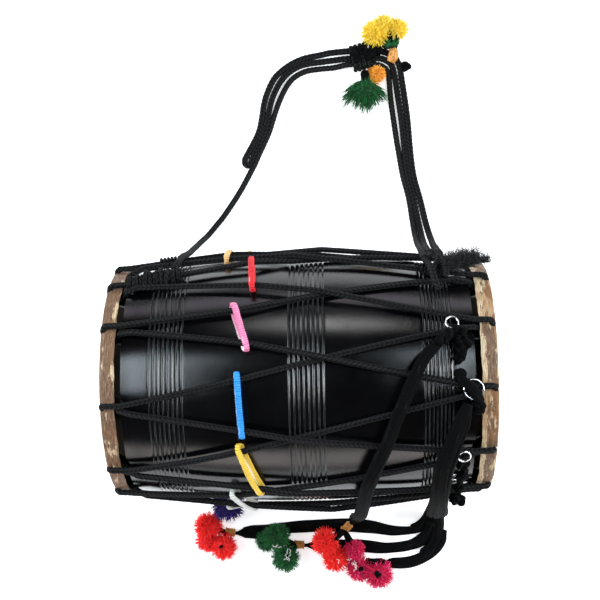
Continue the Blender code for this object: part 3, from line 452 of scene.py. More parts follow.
# %% [markdown]
# ## The route of the lacing
#
# The lacing of this drum is two endless ropes. Each leg goes from a turn over the left hoop, past a
# tuning ring that pinches it to its neighbour, over the barrel, across other legs and up on to the
# right hoop. There it passes over the hoop's band, round its front and back out under the hoop. The
# same rules and numbers as in the CAD give the route here, only with many more points.

# %% Measures of the hoops and the lacing
HOOP_INNER = REBATE_RADIUS + 0.0115
HOOP_OUTER = HOOP_INNER + 0.0042
HOOP_FRONT_X = HALF_LENGTH - 0.0062
HOOP_BACK_X = HOOP_FRONT_X - 0.0113
SKIN_THICKNESS = 0.0014
BAND_WIDTH = 0.020
BAND_RADIUS = HOOP_OUTER + GAP + SKIN_THICKNESS
ROPE_OVER_BAND = BAND_RADIUS + ROPE_RADIUS + 0.0013
ROPE_UNDER_HOOP = HOOP_INNER - ROPE_RADIUS - 0.0019
ROPE_FRONT_X = HOOP_FRONT_X + ROPE_RADIUS + 0.0008
LACE_OVER_X = HALF_LENGTH - 0.018
LACE_UNDER_X = HALF_LENGTH - 0.027
LACE_FREE_X = HALF_LENGTH - 0.045
APEX_HALF_ANGLE = 1.47
LEFT_APEXES = (72, 50.5, 24.5, -13, -48, -71, -101, -133, -165, -195, -227, -258)
RIGHT_APEXES = (84, 54, 24.5, -6.5, -38.5, -68.5, -98, -130, -165, -195, -222, -249)
LACES = len(LEFT_APEXES)
RING_THICKNESS = 0.0030
RING_CLEARANCE = 0.0006
RING_WIDTH = 0.0095
SEEN_RINGS = ((-0.107, 83.0, -0.107, 68.0), (-0.068, 60.7, -0.064, 42.5), (-0.086, 29.8, -0.070, 14.2),
              (-0.082, 0.0, -0.078, -22.0), (-0.083, -31.0, -0.060, -53.1), (-0.097, -60.4, -0.075, -74.0),
              (-0.112, -91.0, -0.088, -106.5))
HIDDEN_RING_X = -0.080
RING_PINCH = 1.5
print(LACES, "turns of lacing round each hoop")

# %% Legs between the hoops
places = np.linspace(-0.21, -0.06, 31)
room = ROPE_RADIUS + RING_CLEARANCE + RING_THICKNESS + 0.0010
LINE_SLOPE = float(((shell_radius(places) + room - ROPE_OVER_BAND) / (places + LACE_OVER_X)).max())


def lifted_line(x):
    """Height of a left leg: a straight line from the hoop that clears the shell by a ring's strand."""
    return ROPE_OVER_BAND + LINE_SLOPE * (x + LACE_OVER_X)


def rope_floor(x):
    return shell_radius(x) + GAP + ROPE_RADIUS


def apex(angles, index):
    return angles[index % LACES] - 360 * (index // LACES)


def ring_seat(index):
    """Where a tuning ring holds its upper and its lower rope: x and angle of each."""
    if index < len(SEEN_RINGS):
        return SEEN_RINGS[index]
    share = (HIDDEN_RING_X + HALF_LENGTH) / (2 * HALF_LENGTH)
    left = LEFT_APEXES[index]
    above = left + share * (apex(RIGHT_APEXES, index - 1) - left) - RING_PINCH
    below = left + share * (apex(RIGHT_APEXES, index + 1) - left) + RING_PINCH
    return HIDDEN_RING_X, above, HIDDEN_RING_X, below


def leg_angles(index, falling):
    """x and angle of a leg at the left hoop, at its ring and at the right hoop."""
    x_upper, upper, x_lower, lower = ring_seat(index % LACES)
    turns = -360 * (index // LACES)
    past = RING_WIDTH / 2 + 0.0015
    end = LACE_UNDER_X - 0.001
    if falling:
        return ((-end, x_lower + past, end), (apex(LEFT_APEXES, index) - APEX_HALF_ANGLE, lower + turns,
                                              apex(RIGHT_APEXES, index + 1) + APEX_HALF_ANGLE))
    return ((-end, x_upper + past, end), (apex(LEFT_APEXES, index) + APEX_HALF_ANGLE, upper + turns,
                                          apex(RIGHT_APEXES, index - 1) - APEX_HALF_ANGLE))


def crossing_x(index):
    """Where the falling leg of one left turn meets the rising leg of the next."""
    x = np.linspace(-0.2, 0.2, 4001)
    return x[np.argmin(np.abs(np.interp(x, *leg_angles(index, True)) - np.interp(x, *leg_angles(index + 1, False))))]


def taut(start, end):
    """A string pulled tight over the barrel between two places: only the highest line over all points stays."""
    rest = [(x, rope_floor(x) + GAP) for x in np.linspace(-0.195, 0.195, 7) if start[0] + 0.01 < x < end[0] - 0.01]
    hull = []
    for point in sorted([start, end, *rest]):
        while len(hull) > 1 and ((hull[-1][1] - hull[-2][1]) * (point[0] - hull[-2][0])
                                 <= (point[1] - hull[-2][1]) * (hull[-1][0] - hull[-2][0])):
            hull.pop()
        hull.append(point)
    return hull


def leg(index, falling, step=0.003):
    """x, distance from the axis and angle along one leg, from the left hoop to the right hoop."""
    knots = leg_angles(index, falling)
    cross = crossing_x(index if falling else index - 1)
    height = rope_floor(cross) + CROSSING_LIFT + (2 * ROPE_RADIUS + CROSSING_GAP if falling else 0.0)
    ring_x = knots[0][1]
    left_x = -LACE_FREE_X if falling else -LACE_OVER_X
    free = (LACE_FREE_X, max(ROPE_OVER_BAND + 0.0013, rope_floor(LACE_FREE_X)))
    end = (LACE_OVER_X - 0.004, ROPE_OVER_BAND) if falling else free
    near = (ring_x, max(lifted_line(ring_x), rope_floor(ring_x) + GAP))
    hull = taut(near, (cross, height)) + taut((cross, height), end)[1:]
    x = np.arange(left_x, end[0], step)
    over = np.interp(x, *zip(*hull))
    radius = np.where(x < ring_x, np.maximum(lifted_line(x), rope_floor(x) + GAP), np.maximum(over, rope_floor(x)))
    return x, radius, np.interp(x, *knots)


def hoop_turn(side, angle):
    """The turn round a hoop: over its band, round its front, and back out under it."""
    lean = APEX_HALF_ANGLE
    middle = (HOOP_INNER + HOOP_OUTER) / 2 + 0.0004
    shoulder = float(np.interp(LACE_UNDER_X, (SHOULDER_X, REBATE_X), (shell_radius(SHOULDER_X), REBATE_RADIUS)))
    x = (HALF_LENGTH - 0.0050, HALF_LENGTH - 0.0017, ROPE_FRONT_X, HALF_LENGTH - 0.0014, HALF_LENGTH - 0.0043,
         REBATE_X + 0.0002, LACE_UNDER_X)
    radius = (ROPE_OVER_BAND - 0.0003, ROPE_OVER_BAND - 0.0036, middle, ROPE_UNDER_HOOP + 0.0036, ROPE_UNDER_HOOP,
              ROPE_UNDER_HOOP, shoulder + ROPE_RADIUS + 0.0048)
    degrees = angle + lean * np.array([1, 0.7, 0, -0.7, -1, -1, -1])
    return side * np.array(x), np.array(radius), degrees


def lacing_route(parity):
    """One endless rope: its legs and hoop turns in order, with the bends at the hoops eased."""
    parts = []
    for index in range(parity, LACES + parity, 2):
        parts.append(leg(index, True))
        parts.append(hoop_turn(1, apex(RIGHT_APEXES, index + 1)))
        parts.append([values[::-1] for values in leg(index + 2, False)])
        parts.append(hoop_turn(-1, apex(LEFT_APEXES, index + 2)))
    corners = polar(*(np.concatenate([part[k] for part in parts]) for k in range(3)))
    return spaced(relaxed(spaced(corners, 0.001, True), 0.0016), 0.002, True)


lacing = [lacing_route(parity) for parity in (0, 1)]
lacing_length = [float(lengths(np.vstack([path, path[:1]]))[-1]) for path in lacing]
print("lacing ropes are", [round(value, 2) for value in lacing_length], "m long")

# %% [markdown]
# ## The free ropes and cords
#
# The strap and the tassels are limp cords that lie on the floor and hang over the drum. Each route
# is a list of chosen points, the same ones that the CAD uses, and a smooth curve goes through them.
# The camera sees every one of them from end to end, so none has a hidden length to put away.

# %% Routes of the strap
STRAP_RADIUS = 0.00425
HITCH_CORD_RADIUS = 0.0021
KNOT_HEIGHT = 2 * HITCH_CORD_RADIUS + STRAP_RADIUS + 0.0012


def hitch_place(index, falling, x):
    """The middle of a leg of the lacing at x, with its distance from the axis and its angle."""
    along, radius, degrees = leg(index, falling)
    return float(np.interp(x, along, radius)), float(np.interp(x, along, degrees))


def on_floor(x, y, radius):
    return x, y, radius + GAP


def rested(path, radius):
    """A path that never sinks lower than its cord's radius over the floor."""
    return np.column_stack([path[:, :2], np.maximum(path[:, 2], radius + GAP)])


flat = STRAP_RADIUS
wrapped = ROPE_RADIUS + 3.5 * GAP + 4 * HITCH_CORD_RADIUS + STRAP_RADIUS
LEFT_HITCH = (-0.212, -0.180)
RIGHT_HITCH = (0.185, 0.221)
left_reach, left_angle = hitch_place(0, False, LEFT_HITCH[0])
right_reach, right_angle = hitch_place(0, True, RIGHT_HITCH[0])
left_reach += wrapped
right_reach += wrapped
single = [(-0.1840, 0.1640, 0.3080), (-0.1808, 0.1700, 0.3030), (-0.1788, 0.1760, 0.2940),
          (-0.1783, 0.1835, 0.2740), (-0.1793, 0.1910, 0.2450), (-0.1799, 0.1965, 0.2100), (-0.1797, 0.2060, 0.1600),
          (-0.1797, 0.2155, 0.1200), (-0.1782, 0.2263, 0.080), (-0.1742, 0.2388, 0.045), (-0.1690, 0.2515, 0.0140),
          on_floor(-0.1560, 0.2700, flat), on_floor(-0.1405, 0.2885, flat), on_floor(-0.1093, 0.3320, flat),
          on_floor(-0.0850, 0.3735, flat), on_floor(-0.0760, 0.3925, flat), on_floor(-0.0580, 0.4324, flat),
          on_floor(-0.0505, 0.4570, flat), on_floor(-0.0410, 0.4870, flat), on_floor(-0.0313, 0.5090, flat),
          on_floor(-0.0205, 0.5262, flat), on_floor(-0.0085, 0.5370, flat), on_floor(0.0110, 0.5455, flat),
          on_floor(0.0356, 0.5480, flat), on_floor(0.0600, 0.5490, flat), (0.0850, 0.5522, KNOT_HEIGHT),
          (0.1050, 0.5525, KNOT_HEIGHT), (0.1300, 0.5524, KNOT_HEIGHT), (0.1490, 0.5470, 0.0075),
          on_floor(0.1570, 0.5340, flat), on_floor(0.1610, 0.4926, flat), on_floor(0.1655, 0.4529, flat),
          on_floor(0.1712, 0.3989, flat), on_floor(0.1772, 0.3527, flat), on_floor(0.1865, 0.3129, flat),
          on_floor(0.1925, 0.2760, flat), (0.1960, 0.2500, 0.017), (0.1965, 0.2340, 0.045),
          (0.1955, 0.2200, 0.090), (0.1935, 0.2080, 0.150), (0.1910, 0.2000, 0.200), (0.1885, 0.1880, 0.262),
          polar(0.1890, right_reach, right_angle + 0.5)]
doubled = [polar(0.1990, right_reach, right_angle + 0.5), (0.1985, 0.1880, 0.262), (0.2010, 0.2000, 0.200),
           (0.2035, 0.2080, 0.150), (0.2055, 0.2200, 0.090), (0.2065, 0.2340, 0.045), (0.2060, 0.2500, 0.017),
           on_floor(0.2030, 0.2757, flat), on_floor(0.1972, 0.3127, flat), on_floor(0.1880, 0.3524, flat),
           on_floor(0.1820, 0.3987, flat), on_floor(0.1765, 0.4526, flat), on_floor(0.1720, 0.4923, flat),
           on_floor(0.1678, 0.5339, flat), on_floor(0.1620, 0.5550, flat), (0.1470, 0.5640, 0.0085),
           (0.1300, 0.5655, KNOT_HEIGHT), (0.1050, 0.5655, KNOT_HEIGHT), (0.0850, 0.5652, KNOT_HEIGHT),
           on_floor(0.0545, 0.5625, flat), on_floor(0.0371, 0.5600, flat), on_floor(0.0180, 0.5575, flat),
           on_floor(0.0000, 0.5532, flat), on_floor(-0.0185, 0.5427, flat), on_floor(-0.0335, 0.5275, flat),
           on_floor(-0.0450, 0.5088, flat), on_floor(-0.0540, 0.4873, flat), on_floor(-0.0612, 0.4569, flat),
           on_floor(-0.0680, 0.4340, flat), on_floor(-0.0865, 0.3935, flat), on_floor(-0.0900, 0.3845, flat),
           on_floor(-0.0927, 0.3795, flat), on_floor(-0.0962, 0.3776, flat), on_floor(-0.0998, 0.3800, flat),
           on_floor(-0.1010, 0.3855, flat), on_floor(-0.0985, 0.3935, flat), on_floor(-0.0785, 0.4330, flat),
           on_floor(-0.0718, 0.4571, flat), on_floor(-0.0660, 0.4877, flat), on_floor(-0.0580, 0.5100, flat),
           on_floor(-0.0455, 0.5325, flat), on_floor(-0.0295, 0.5472, flat), on_floor(-0.0110, 0.5590, flat),
           on_floor(0.0090, 0.5670, flat), on_floor(0.0373, 0.5730, flat), on_floor(0.0545, 0.5770, flat),
           (0.0850, 0.5788, KNOT_HEIGHT), (0.1050, 0.5785, KNOT_HEIGHT), (0.1300, 0.5785, KNOT_HEIGHT),
           (0.1490, 0.5765, 0.0085), on_floor(0.1690, 0.5665, flat), on_floor(0.1770, 0.5480, flat),
           on_floor(0.1786, 0.5336, flat), on_floor(0.1830, 0.4920, flat), on_floor(0.1877, 0.4523, flat),
           on_floor(0.1928, 0.3984, flat), on_floor(0.1988, 0.3522, flat), on_floor(0.2080, 0.3124, flat),
           on_floor(0.2145, 0.2755, flat), (0.2190, 0.2500, 0.017), (0.2210, 0.2340, 0.045), (0.2205, 0.2200, 0.090),
           (0.2185, 0.2080, 0.150), (0.2160, 0.2000, 0.200), (0.2130, 0.1880, 0.262),
           polar(0.2120, right_reach, right_angle + 4)]
tail_reach = ROPE_OVER_BAND + 2 * STRAP_RADIUS + 0.006
tail = [polar(0.2080, right_reach + 0.0125, right_angle - 6), polar(0.2340, tail_reach + 0.004, right_angle - 3),
        polar(0.2600, tail_reach, right_angle - 1), polar(0.2840, tail_reach - 0.003, right_angle)]
single = rested(through(single), flat)
doubled = rested(through(doubled), flat)
print("strap rope", round(lengths(single)[-1], 3), "m, doubled rope", round(lengths(doubled)[-1], 3), "m")


# %% Routes of the tassels
CORD_THICK = 0.0070
CORD_THIN = 0.0065
CORD_FOUR = 0.0080
CORD_BUNDLE = 0.0110
CORD_FINE = 0.0030


def over_drum(x, y, radius):
    """The middle of a cord that lies over the lacing, at a place seen from above."""
    crossing = rope_floor(0.0) + CROSSING_LIFT + 2 * ROPE_RADIUS + CROSSING_GAP
    reach = crossing + (ROPE_OVER_BAND - crossing) * x / LACE_OVER_X + ROPE_RADIUS + 3 * GAP + radius
    return x, y, AXIS_HEIGHT + math.sqrt(reach * reach - y * y)


def seated(path, node):
    """Moves a path to where the CAD settled its cord: by the shift between the two boxes' middles."""
    low, high = (np.array(corner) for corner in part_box(node))
    return path + (low + high) / 2 - (path.min(0) + path.max(0)) / 2


first = [over_drum(0.200, 0.046, CORD_THICK), over_drum(0.176, 0.022, CORD_THICK),
         over_drum(0.144, -0.045, CORD_THICK), over_drum(0.120, -0.106, CORD_THICK),
         over_drum(0.098, -0.157, CORD_THICK), over_drum(0.090, -0.200, CORD_THICK),
         (0.088, -0.2190, AXIS_HEIGHT - 0.02), (0.086, -0.227, 0.11), (0.083, -0.236, 0.050),
         (0.077, -0.247, 0.0265), (0.066, -0.2595, 0.0242), (0.0545, -0.2700, 0.0190)]
bundle = [over_drum(0.2375, -0.0385, CORD_BUNDLE), over_drum(0.229, -0.066, CORD_BUNDLE),
          over_drum(0.217, -0.100, CORD_BUNDLE), over_drum(0.205, -0.137, CORD_BUNDLE),
          over_drum(0.203, -0.178, CORD_BUNDLE), (0.208, -0.2150, AXIS_HEIGHT - 0.02),
          (0.213, -0.221, 0.11), (0.2155, -0.224, 0.050), (0.2165, -0.2285, 0.0180)]
second = [on_floor(0.2010, -0.2540, CORD_THIN), on_floor(0.184, -0.2640, CORD_THIN),
          on_floor(0.145, -0.266, CORD_THIN), on_floor(0.106, -0.260, CORD_THIN),
          on_floor(0.052, -0.2555, CORD_THIN), on_floor(-0.013, -0.257, CORD_THIN),
          on_floor(-0.065, -0.262, CORD_THIN), on_floor(-0.100, -0.2655, CORD_THIN),
          (-0.128, -0.2670, 0.0095), (-0.156, -0.2625, 0.0115)]
third = [on_floor(0.2120, -0.2650, CORD_THICK), on_floor(0.199, -0.2790, CORD_THICK),
         on_floor(0.175, -0.290, CORD_THICK), on_floor(0.132, -0.2955, CORD_THICK),
         on_floor(0.091, -0.2915, CORD_THICK), on_floor(0.040, -0.290, CORD_THICK), (0.0120, -0.2895, 0.0095),
         (-0.0100, -0.2885, 0.0112), (-0.0345, -0.2870, 0.0120)]
fourth = [on_floor(0.2300, -0.2620, CORD_FOUR), on_floor(0.2225, -0.2840, CORD_FOUR),
          on_floor(0.2060, -0.3020, CORD_FOUR), on_floor(0.1840, -0.3130, CORD_FOUR), on_floor(0.160, -0.3180, CORD_FOUR),
          on_floor(0.129, -0.3170, CORD_FOUR)]
def eased_share(share):
    return share * share * (3 - 2 * share)


low_rope = float(rope_floor(0.078)) + ROPE_RADIUS + CORD_FINE + 2 * GAP
fifth = [polar(-0.078, low_rope, -102), (-0.080, -0.2060, 0.130), (-0.088, -0.2010, 0.070),
         (-0.100, -0.2020, 0.026), (-0.118, -0.2095, 0.0120)]
first = rested(through(first), CORD_THICK)
bundle = seated(rested(through(bundle), CORD_BUNDLE), "tassel_bundle")
second = seated(rested(through(second), CORD_THIN), "tassel_cord_two")
third = seated(rested(through(third), CORD_THICK), "tassel_cord_three")
fourth = seated(rested(through(fourth), CORD_FOUR), "tassel_cord_four")
fifth = seated(rested(through(fifth), CORD_FINE), "tassel_cord_five")
tail = seated(through(tail, 0.001), "strap_frayed_tail")
# its loose half stands off the drum in the photograph
tail = tail + np.array([0.0, 0.012, 0.002]) * eased_share(lengths(tail) / lengths(tail)[-1])[:, None]
for label, path in (("one", first), ("bundle", bundle), ("two", second), ("three", third), ("four", fourth)):
    print("tassel cord", label, round(lengths(path)[-1], 3), "m")

# %% [markdown]
# ## Black cotton
#
# The ropes are plaited black cotton and the tassel cords are the same black cloth, gathered into
# soft tubes. Black cotton isn't black paint: it has grey lint, lighter crowns where the strands stand
# up, which are partly wear and partly painted highlight, and painted shade in the gaps between them.
# The cloth's folds get painted shade in their hollows and a painted highlight along their crests. The
# rope's finish follows its own plait by its UV map, which runs four columns round the rope and one
# unit for each strand along it.

# %% Finishes of the ropes and cords
PLAIT_PITCH = 0.0070
PLAIT_COLUMNS = 4
PLAIT_LIFT = 0.16


def plaited_finish():
    made = Finish("plaited_cotton", roughness=0.85)
    across, along = made.pattern()
    column = across * PLAIT_COLUMNS
    local = (column % 1.0) * 2.0 - 1.0
    lean = ((column / 2.0) % 1.0 > 0.5) * -2.0 + 1.0
    strand = made.sine((along / PLAIT_PITCH + lean * local * 0.5) * math.pi)
    raised = (strand * strand) ** 0.25 * (1.0 - local * local * 0.6)
    fibres = made.noise(made.place(), 1500, 4.0, 0.7)
    patches = made.noise(made.place(), 45, 2.0)
    lint = made.between(made.noise(made.place(), 420, 3.0, 0.6), 0.60, 0.78)
    # painted shade darkens the gaps between the strands; the lighter crowns are partly wear and partly painted
    # highlight
    base = made.mix(made.between(raised, 0.2, 1.0), (0.0003, 0.0003, 0.0003), (0.0150, 0.0148, 0.0150))
    base = made.mix(made.between(patches, 0.40, 0.75) * 0.4, base, (0.008, 0.008, 0.0085))
    made.set("Base Color", made.mix(lint * raised * 0.6, base, (0.060, 0.060, 0.062)))
    made.set("Roughness", 0.95 - raised * 0.2)
    made.set("Specular IOR Level", 0.12)
    made.bump(raised + fibres * 0.35, 0.0009, 0.8)
    return made


def soft_cotton_finish():
    made = Finish("gathered_black_cloth", roughness=0.9)
    across, along = made.pattern()
    creases = made.noise(made.vector(across * 9.0, along * 30.0, 0.0), 1.0, 3.0, 0.6)
    fibres = made.noise(made.place(), 1300, 3.0, 0.7)
    # painted shade in the hollows of the folds, and on the next line a painted highlight along their crests
    base = made.mix(made.between(creases, 0.3, 0.65), (0.0002, 0.0002, 0.0002), (0.0012, 0.0012, 0.0014))
    base = made.mix(made.between(creases, 0.60, 0.70) * 0.8, base, (0.012, 0.012, 0.013))
    lint = made.between(made.noise(made.place(), 350, 2.0), 0.66, 0.8)
    made.set("Base Color", made.mix(lint * 0.35, base, (0.020, 0.020, 0.022)))
    made.set("Specular IOR Level", 0.10)
    made.bump(creases + fibres * 0.2, 0.0016, 0.7)
    return made


plaited_cotton = plaited_finish()
soft_cotton = soft_cotton_finish()
print("cotton finishes:", plaited_cotton.material.name, soft_cotton.material.name)

# %% [markdown]
# ## Plaited ropes
#
# The section of a rope is a circle that swells where a strand comes to the surface. Round the rope
# there are four columns of strands, and the strands of one column lean against those of the next,
# which gives the herringbone that a plait shows.

# %% Ropes
ROPE_SIDES = 16
UP_WAY = np.array([0.0, 0.0, 1.0])
# a plait is measured over its crowns, so its middle line stands a little wider than the CAD's rope
CROWN = 1.07
SOFT_STRAP = 1.20
SOFT_DOUBLED = 1.36


def plait(distance, radius, pitch=PLAIT_PITCH, sides=ROPE_SIDES):
    """Sections of a plaited rope: the radius rises by a share over the middle of every strand.

    Strands repeat each pitch, lean by half a pitch over the width of their column, and fall away
    towards the column's sides with the square of the distance from its middle.
    """
    share = np.arange(sides) / sides * PLAIT_COLUMNS
    local = 2 * (share % 1) - 1
    lean = np.where(share % 2 < 1, 1.0, -1.0)
    raised = np.sqrt(np.abs(np.sin(np.pi * (distance[:, None] / pitch + lean * local * 0.5)))) * (1 - 0.6 * local ** 2)
    size = radius * (1 - PLAIT_LIFT + PLAIT_LIFT * 1.25 * raised)
    angle = 2 * np.pi * np.arange(sides) / sides
    return np.stack([size * np.cos(angle), size * np.sin(angle)], axis=-1)


def rope_form(path, radius, closed=False):
    return sweep(path, plait(lengths(path), radius), closed)


def swayed(path, amount, phase):
    """A rope that sways a little to either side of its route, as ropes that are laid side by side do."""
    along = lengths(path)
    side = np.cross(unit(np.gradient(path, axis=0)), UP_WAY)
    fade = np.clip(np.minimum(along, along[-1] - along) / 0.05, 0, 1)
    return path + side * (amount * fade * np.sin(along * 23.0 + phase))[:, None]


single = swayed(single, 0.0014, 0.0)
doubled = swayed(doubled, 0.0016, 2.1)
for path, label in zip(lacing, ("one", "two")):
    made = piece("plaited_lacing_" + label, rope_form(path, ROPE_RADIUS * CROWN, True), plaited_cotton, "black_cotton",
                 ["lacing_rope_" + label])
    print(made.name, triangles_of(made), "triangles")

strap = piece("strap_rope_plaited", rope_form(single, STRAP_RADIUS * SOFT_STRAP), plaited_cotton, "black_cotton", ["strap_rope"])
doubled_strap = piece("doubled_rope_plaited", rope_form(doubled, STRAP_RADIUS * SOFT_DOUBLED), plaited_cotton, "black_cotton",
                      ["strap_doubled_rope"])
print("hitch", round(left_reach, 4), round(left_angle, 2), "tail", tail[0].round(4), tail[len(tail) // 2].round(4), tail[-1].round(4))
print("strap ropes", triangles_of(strap), triangles_of(doubled_strap), "triangles")

# %% [markdown]
# ## Lashings and the strap's knot
#
# Thinner cord binds the strap's ends to the lacing in close turns round one leg, and a wider set of
# turns holds the three ropes of the strap together at its top. A lashing is a helix: a circle, or a
# flattened one, whose middle moves along a straight line.

# %% Lashings
def helix(start, end, up, half_wide, half_high, turns, squareness=1.0, step=0.0012):
    """Turns round a straight line: cosine and sine of the angle, raised to a power to square them off."""
    start, end = np.array(start, float), np.array(end, float)
    ahead = unit(end - start)
    up = unit(np.array(up, float) - np.dot(up, ahead) * ahead)
    side = np.cross(ahead, up)
    share = np.linspace(0, 1, turns * 48 + 1)[:, None]
    angle = 2 * np.pi * turns * share
    across = np.sign(np.cos(angle)) * np.abs(np.cos(angle)) ** squareness * half_wide
    rise = np.sign(np.sin(angle)) * np.abs(np.sin(angle)) ** squareness * half_high
    return spaced(start + (end - start) * share + side * across + up * rise, step)


def lash_path(index, falling, from_x, to_x, turns, slack=0.0):
    """The middle line of turns round a leg of the lacing, from one x to another."""
    ends = [polar(x, *hitch_place(index, falling, x)) for x in (from_x, to_x)]
    out = polar(0.0, 1.0, hitch_place(index, falling, from_x)[1]) - polar(0.0, 0.0, 0.0)
    reach = ROPE_RADIUS + 2.5 * GAP + HITCH_CORD_RADIUS + slack
    line = helix(ends[0], ends[1], out, reach, reach, turns)
    along = lengths(line)[:, None]
    return line + slack * 0.45 * np.sin(along * np.array([41.0, 57.0, 73.0]))


def lashing(node, index, falling, from_x, to_x, turns):
    """Turns of cord that stand for a node of the CAD."""
    path = lash_path(index, falling, from_x, to_x, turns)
    return piece(node + "_turns", rope_form(path, HITCH_CORD_RADIUS * 1.1), plaited_cotton, "black_cotton", [node])


lashing("strap_left_hitch", 0, False, *LEFT_HITCH, 6)
lashing("strap_right_hitch", 0, True, *RIGHT_HITCH, 8)
wraps = rope_form(lash_path(1, False, -0.249, -0.172, 13, 0.0016), 0.0033)
wraps = wraps + rope_form(lash_path(1, False, -0.226, -0.186, 5, 0.0046), 0.0033)
left_wraps = piece("strap_left_wraps", wraps, plaited_cotton, "black_cotton")
# on the right the strap's ends cross the lacing before they are tied
over_right = [[(0.1886, 0.1800, 0.2960), (0.1888, 0.1722, 0.3125), (0.1943, 0.1632, 0.3253), (0.1965, 0.1545, 0.3365),
               (0.1985, 0.1440, 0.3462), (0.2010, 0.1322, 0.3540), (0.2050, 0.1230, 0.3560)],
              [(0.1990, 0.1765, 0.3060), (0.2050, 0.1710, 0.3165), (0.2111, 0.1665, 0.3215), (0.2141, 0.1593, 0.3303),
               (0.2173, 0.1509, 0.3380), (0.2150, 0.1420, 0.3450)],
              [(0.1975, 0.1860, 0.2800), (0.2040, 0.1850, 0.2950), (0.2092, 0.1790, 0.3060), (0.2080, 0.1690, 0.3200),
               (0.2010, 0.1590, 0.3310), (0.1930, 0.1500, 0.3400)]]
crossing_ropes = rope_form(through(over_right[0]), 0.0050)
for points in over_right[1:]:
    crossing_ropes = crossing_ropes + rope_form(through(points), 0.0050)
right_wraps = piece("strap_right_crossing", crossing_ropes, plaited_cotton, "black_cotton")
knot_path = helix((0.0930, 0.5625, KNOT_HEIGHT), (0.1240, 0.5715, KNOT_HEIGHT), (0, 0, 1),
                  0.013 + STRAP_RADIUS + 0.0012 + HITCH_CORD_RADIUS, STRAP_RADIUS + 0.0026 + HITCH_CORD_RADIUS,
                  4, 0.60)
knot_path = rested(knot_path, HITCH_CORD_RADIUS * 1.9)
top_knot = piece("strap_top_knot_turns", rope_form(knot_path, HITCH_CORD_RADIUS * 1.9), plaited_cotton,
                 "black_cotton", ["strap_top_knot"])
print("lashings round the lacing and the strap", triangles_of(top_knot), "triangles")

# %% [markdown]
# ## The turned shell
#
# The shell is one hollow log, turned on a lathe, with three bands of eight grooves and glossy black
# lacquer. Its profile is spun round the axis as a closed ring of points: along the outside, over the
# bearing edge, into the mouth and back along the inside. The grooves are cut by hand on the lathe,
# so each wavers a little in place and in depth.

# %% Shell
GROOVE_BANDS = ((-0.187, 0.0068), (0.0135, 0.0070), (0.2000, 0.0056))
GROOVES_IN_BAND = 8
GROOVE_DEPTH = 0.0013
GROOVE_HALF_WIDTH = 0.00100
# between two turns of the rope the shoulder reaches this much further towards the skin
SHOULDER_LIP = 0.0045
SHELL_SIDES = 240

steps = np.array([-2.4, -1.6, -1.2, -0.85, -0.45, 0.0, 0.45, 0.85, 1.2, 1.6, 2.4]) / 1000
grooves = np.concatenate([centre + (np.arange(GROOVES_IN_BAND) - 3.5) * pitch for centre, pitch in GROOVE_BANDS])
between = np.concatenate([np.linspace(-SHOULDER_X + 0.0008, -0.2165, 6), np.linspace(-0.158, -0.016, 20),
                          np.linspace(0.044, 0.1745, 18), np.linspace(0.2255, SHOULDER_X - 0.0008, 4)])
outer_x = np.sort(np.concatenate([(grooves[:, None] + steps).ravel(), between]))
end_x = [SHOULDER_X, SHOULDER_X + 0.0008, REBATE_X - 0.0006, REBATE_X, BEARING_X - 0.003, BEARING_X - 0.0010,
         BEARING_X, BEARING_X, BEARING_X - 0.0006, BEARING_X - 0.0020, BEARING_X - MOUTH_DEPTH]
end_radius = [float(shell_radius(SHOULDER_X)), float(shell_radius(SHOULDER_X)) - 0.0012, REBATE_RADIUS + 0.0012,
              REBATE_RADIUS, REBATE_RADIUS - 0.0004, REBATE_RADIUS - 0.0016, REBATE_RADIUS - 0.004,
              MOUTH_RADIUS + 0.0018, MOUTH_RADIUS + 0.0005, MOUTH_RADIUS, MOUTH_RADIUS]
inner_x = np.array([0.205, 0.14, 0.07, 0.0, -0.07, -0.14, -0.205])
profile_x = np.concatenate([outer_x, end_x, inner_x, -np.array(end_x)[::-1]])
profile_radius = np.concatenate([shell_radius(outer_x), end_radius, shell_radius(inner_x) - SHELL_WALL,
                                 np.array(end_radius)[::-1]])
turn_angle = np.degrees(2 * np.pi * np.arange(SHELL_SIDES) / SHELL_SIDES)


def groove_cut(x, degrees):
    """How deep the lathe cut at a place: a bell curve over each groove, that wavers with the angle."""
    turn = np.radians(degrees)[None, :]
    number = np.argmin(np.abs(x[:, None] - grooves[None, :]), axis=1)[:, None]
    waver = 0.00016 * np.sin(2 * turn + 1.7 * number) + 0.00010 * np.sin(5 * turn + 2.9 * number)
    deep = GROOVE_DEPTH * (0.82 + 0.18 * np.sin(3 * turn + 2.1 * number))
    away = (x[:, None] - grooves[number[:, 0]][:, None] - waver) / GROOVE_HALF_WIDTH
    return deep * np.exp(-away ** 2)


radius = np.repeat(profile_radius[:, None], SHELL_SIDES, axis=1)
radius[:len(outer_x)] -= groove_cut(outer_x, turn_angle)
way = np.sign(profile_x)
shoulder = np.clip((np.abs(profile_x) - SHOULDER_X + 0.006) / 0.006, 0, 1) * (radius[:, 0] > REBATE_RADIUS + 0.0005)
near_rope = {side: np.abs((turn_angle[:, None] - np.array(angles)[None, :] + 180) % 360 - 180).min(1)
             for side, angles in ((-1.0, LEFT_APEXES), (1.0, RIGHT_APEXES))}
lip = {side: SHOULDER_LIP * np.clip((away - 3.0) / 2.5, 0, 1) for side, away in near_rope.items()}
lip_here = np.where(way[:, None] < 0, lip[-1.0][None, :], lip[1.0][None, :]) * (shoulder * way)[:, None]
shell_points = polar(profile_x[:, None] + lip_here, radius, turn_angle[None, :])
shell_form = grid(shell_points[:, ::-1], closed_along=True, along=lengths(np.column_stack([profile_x, profile_radius])))
print("shell profile has", len(profile_x), "points, spun in", SHELL_SIDES, "steps")
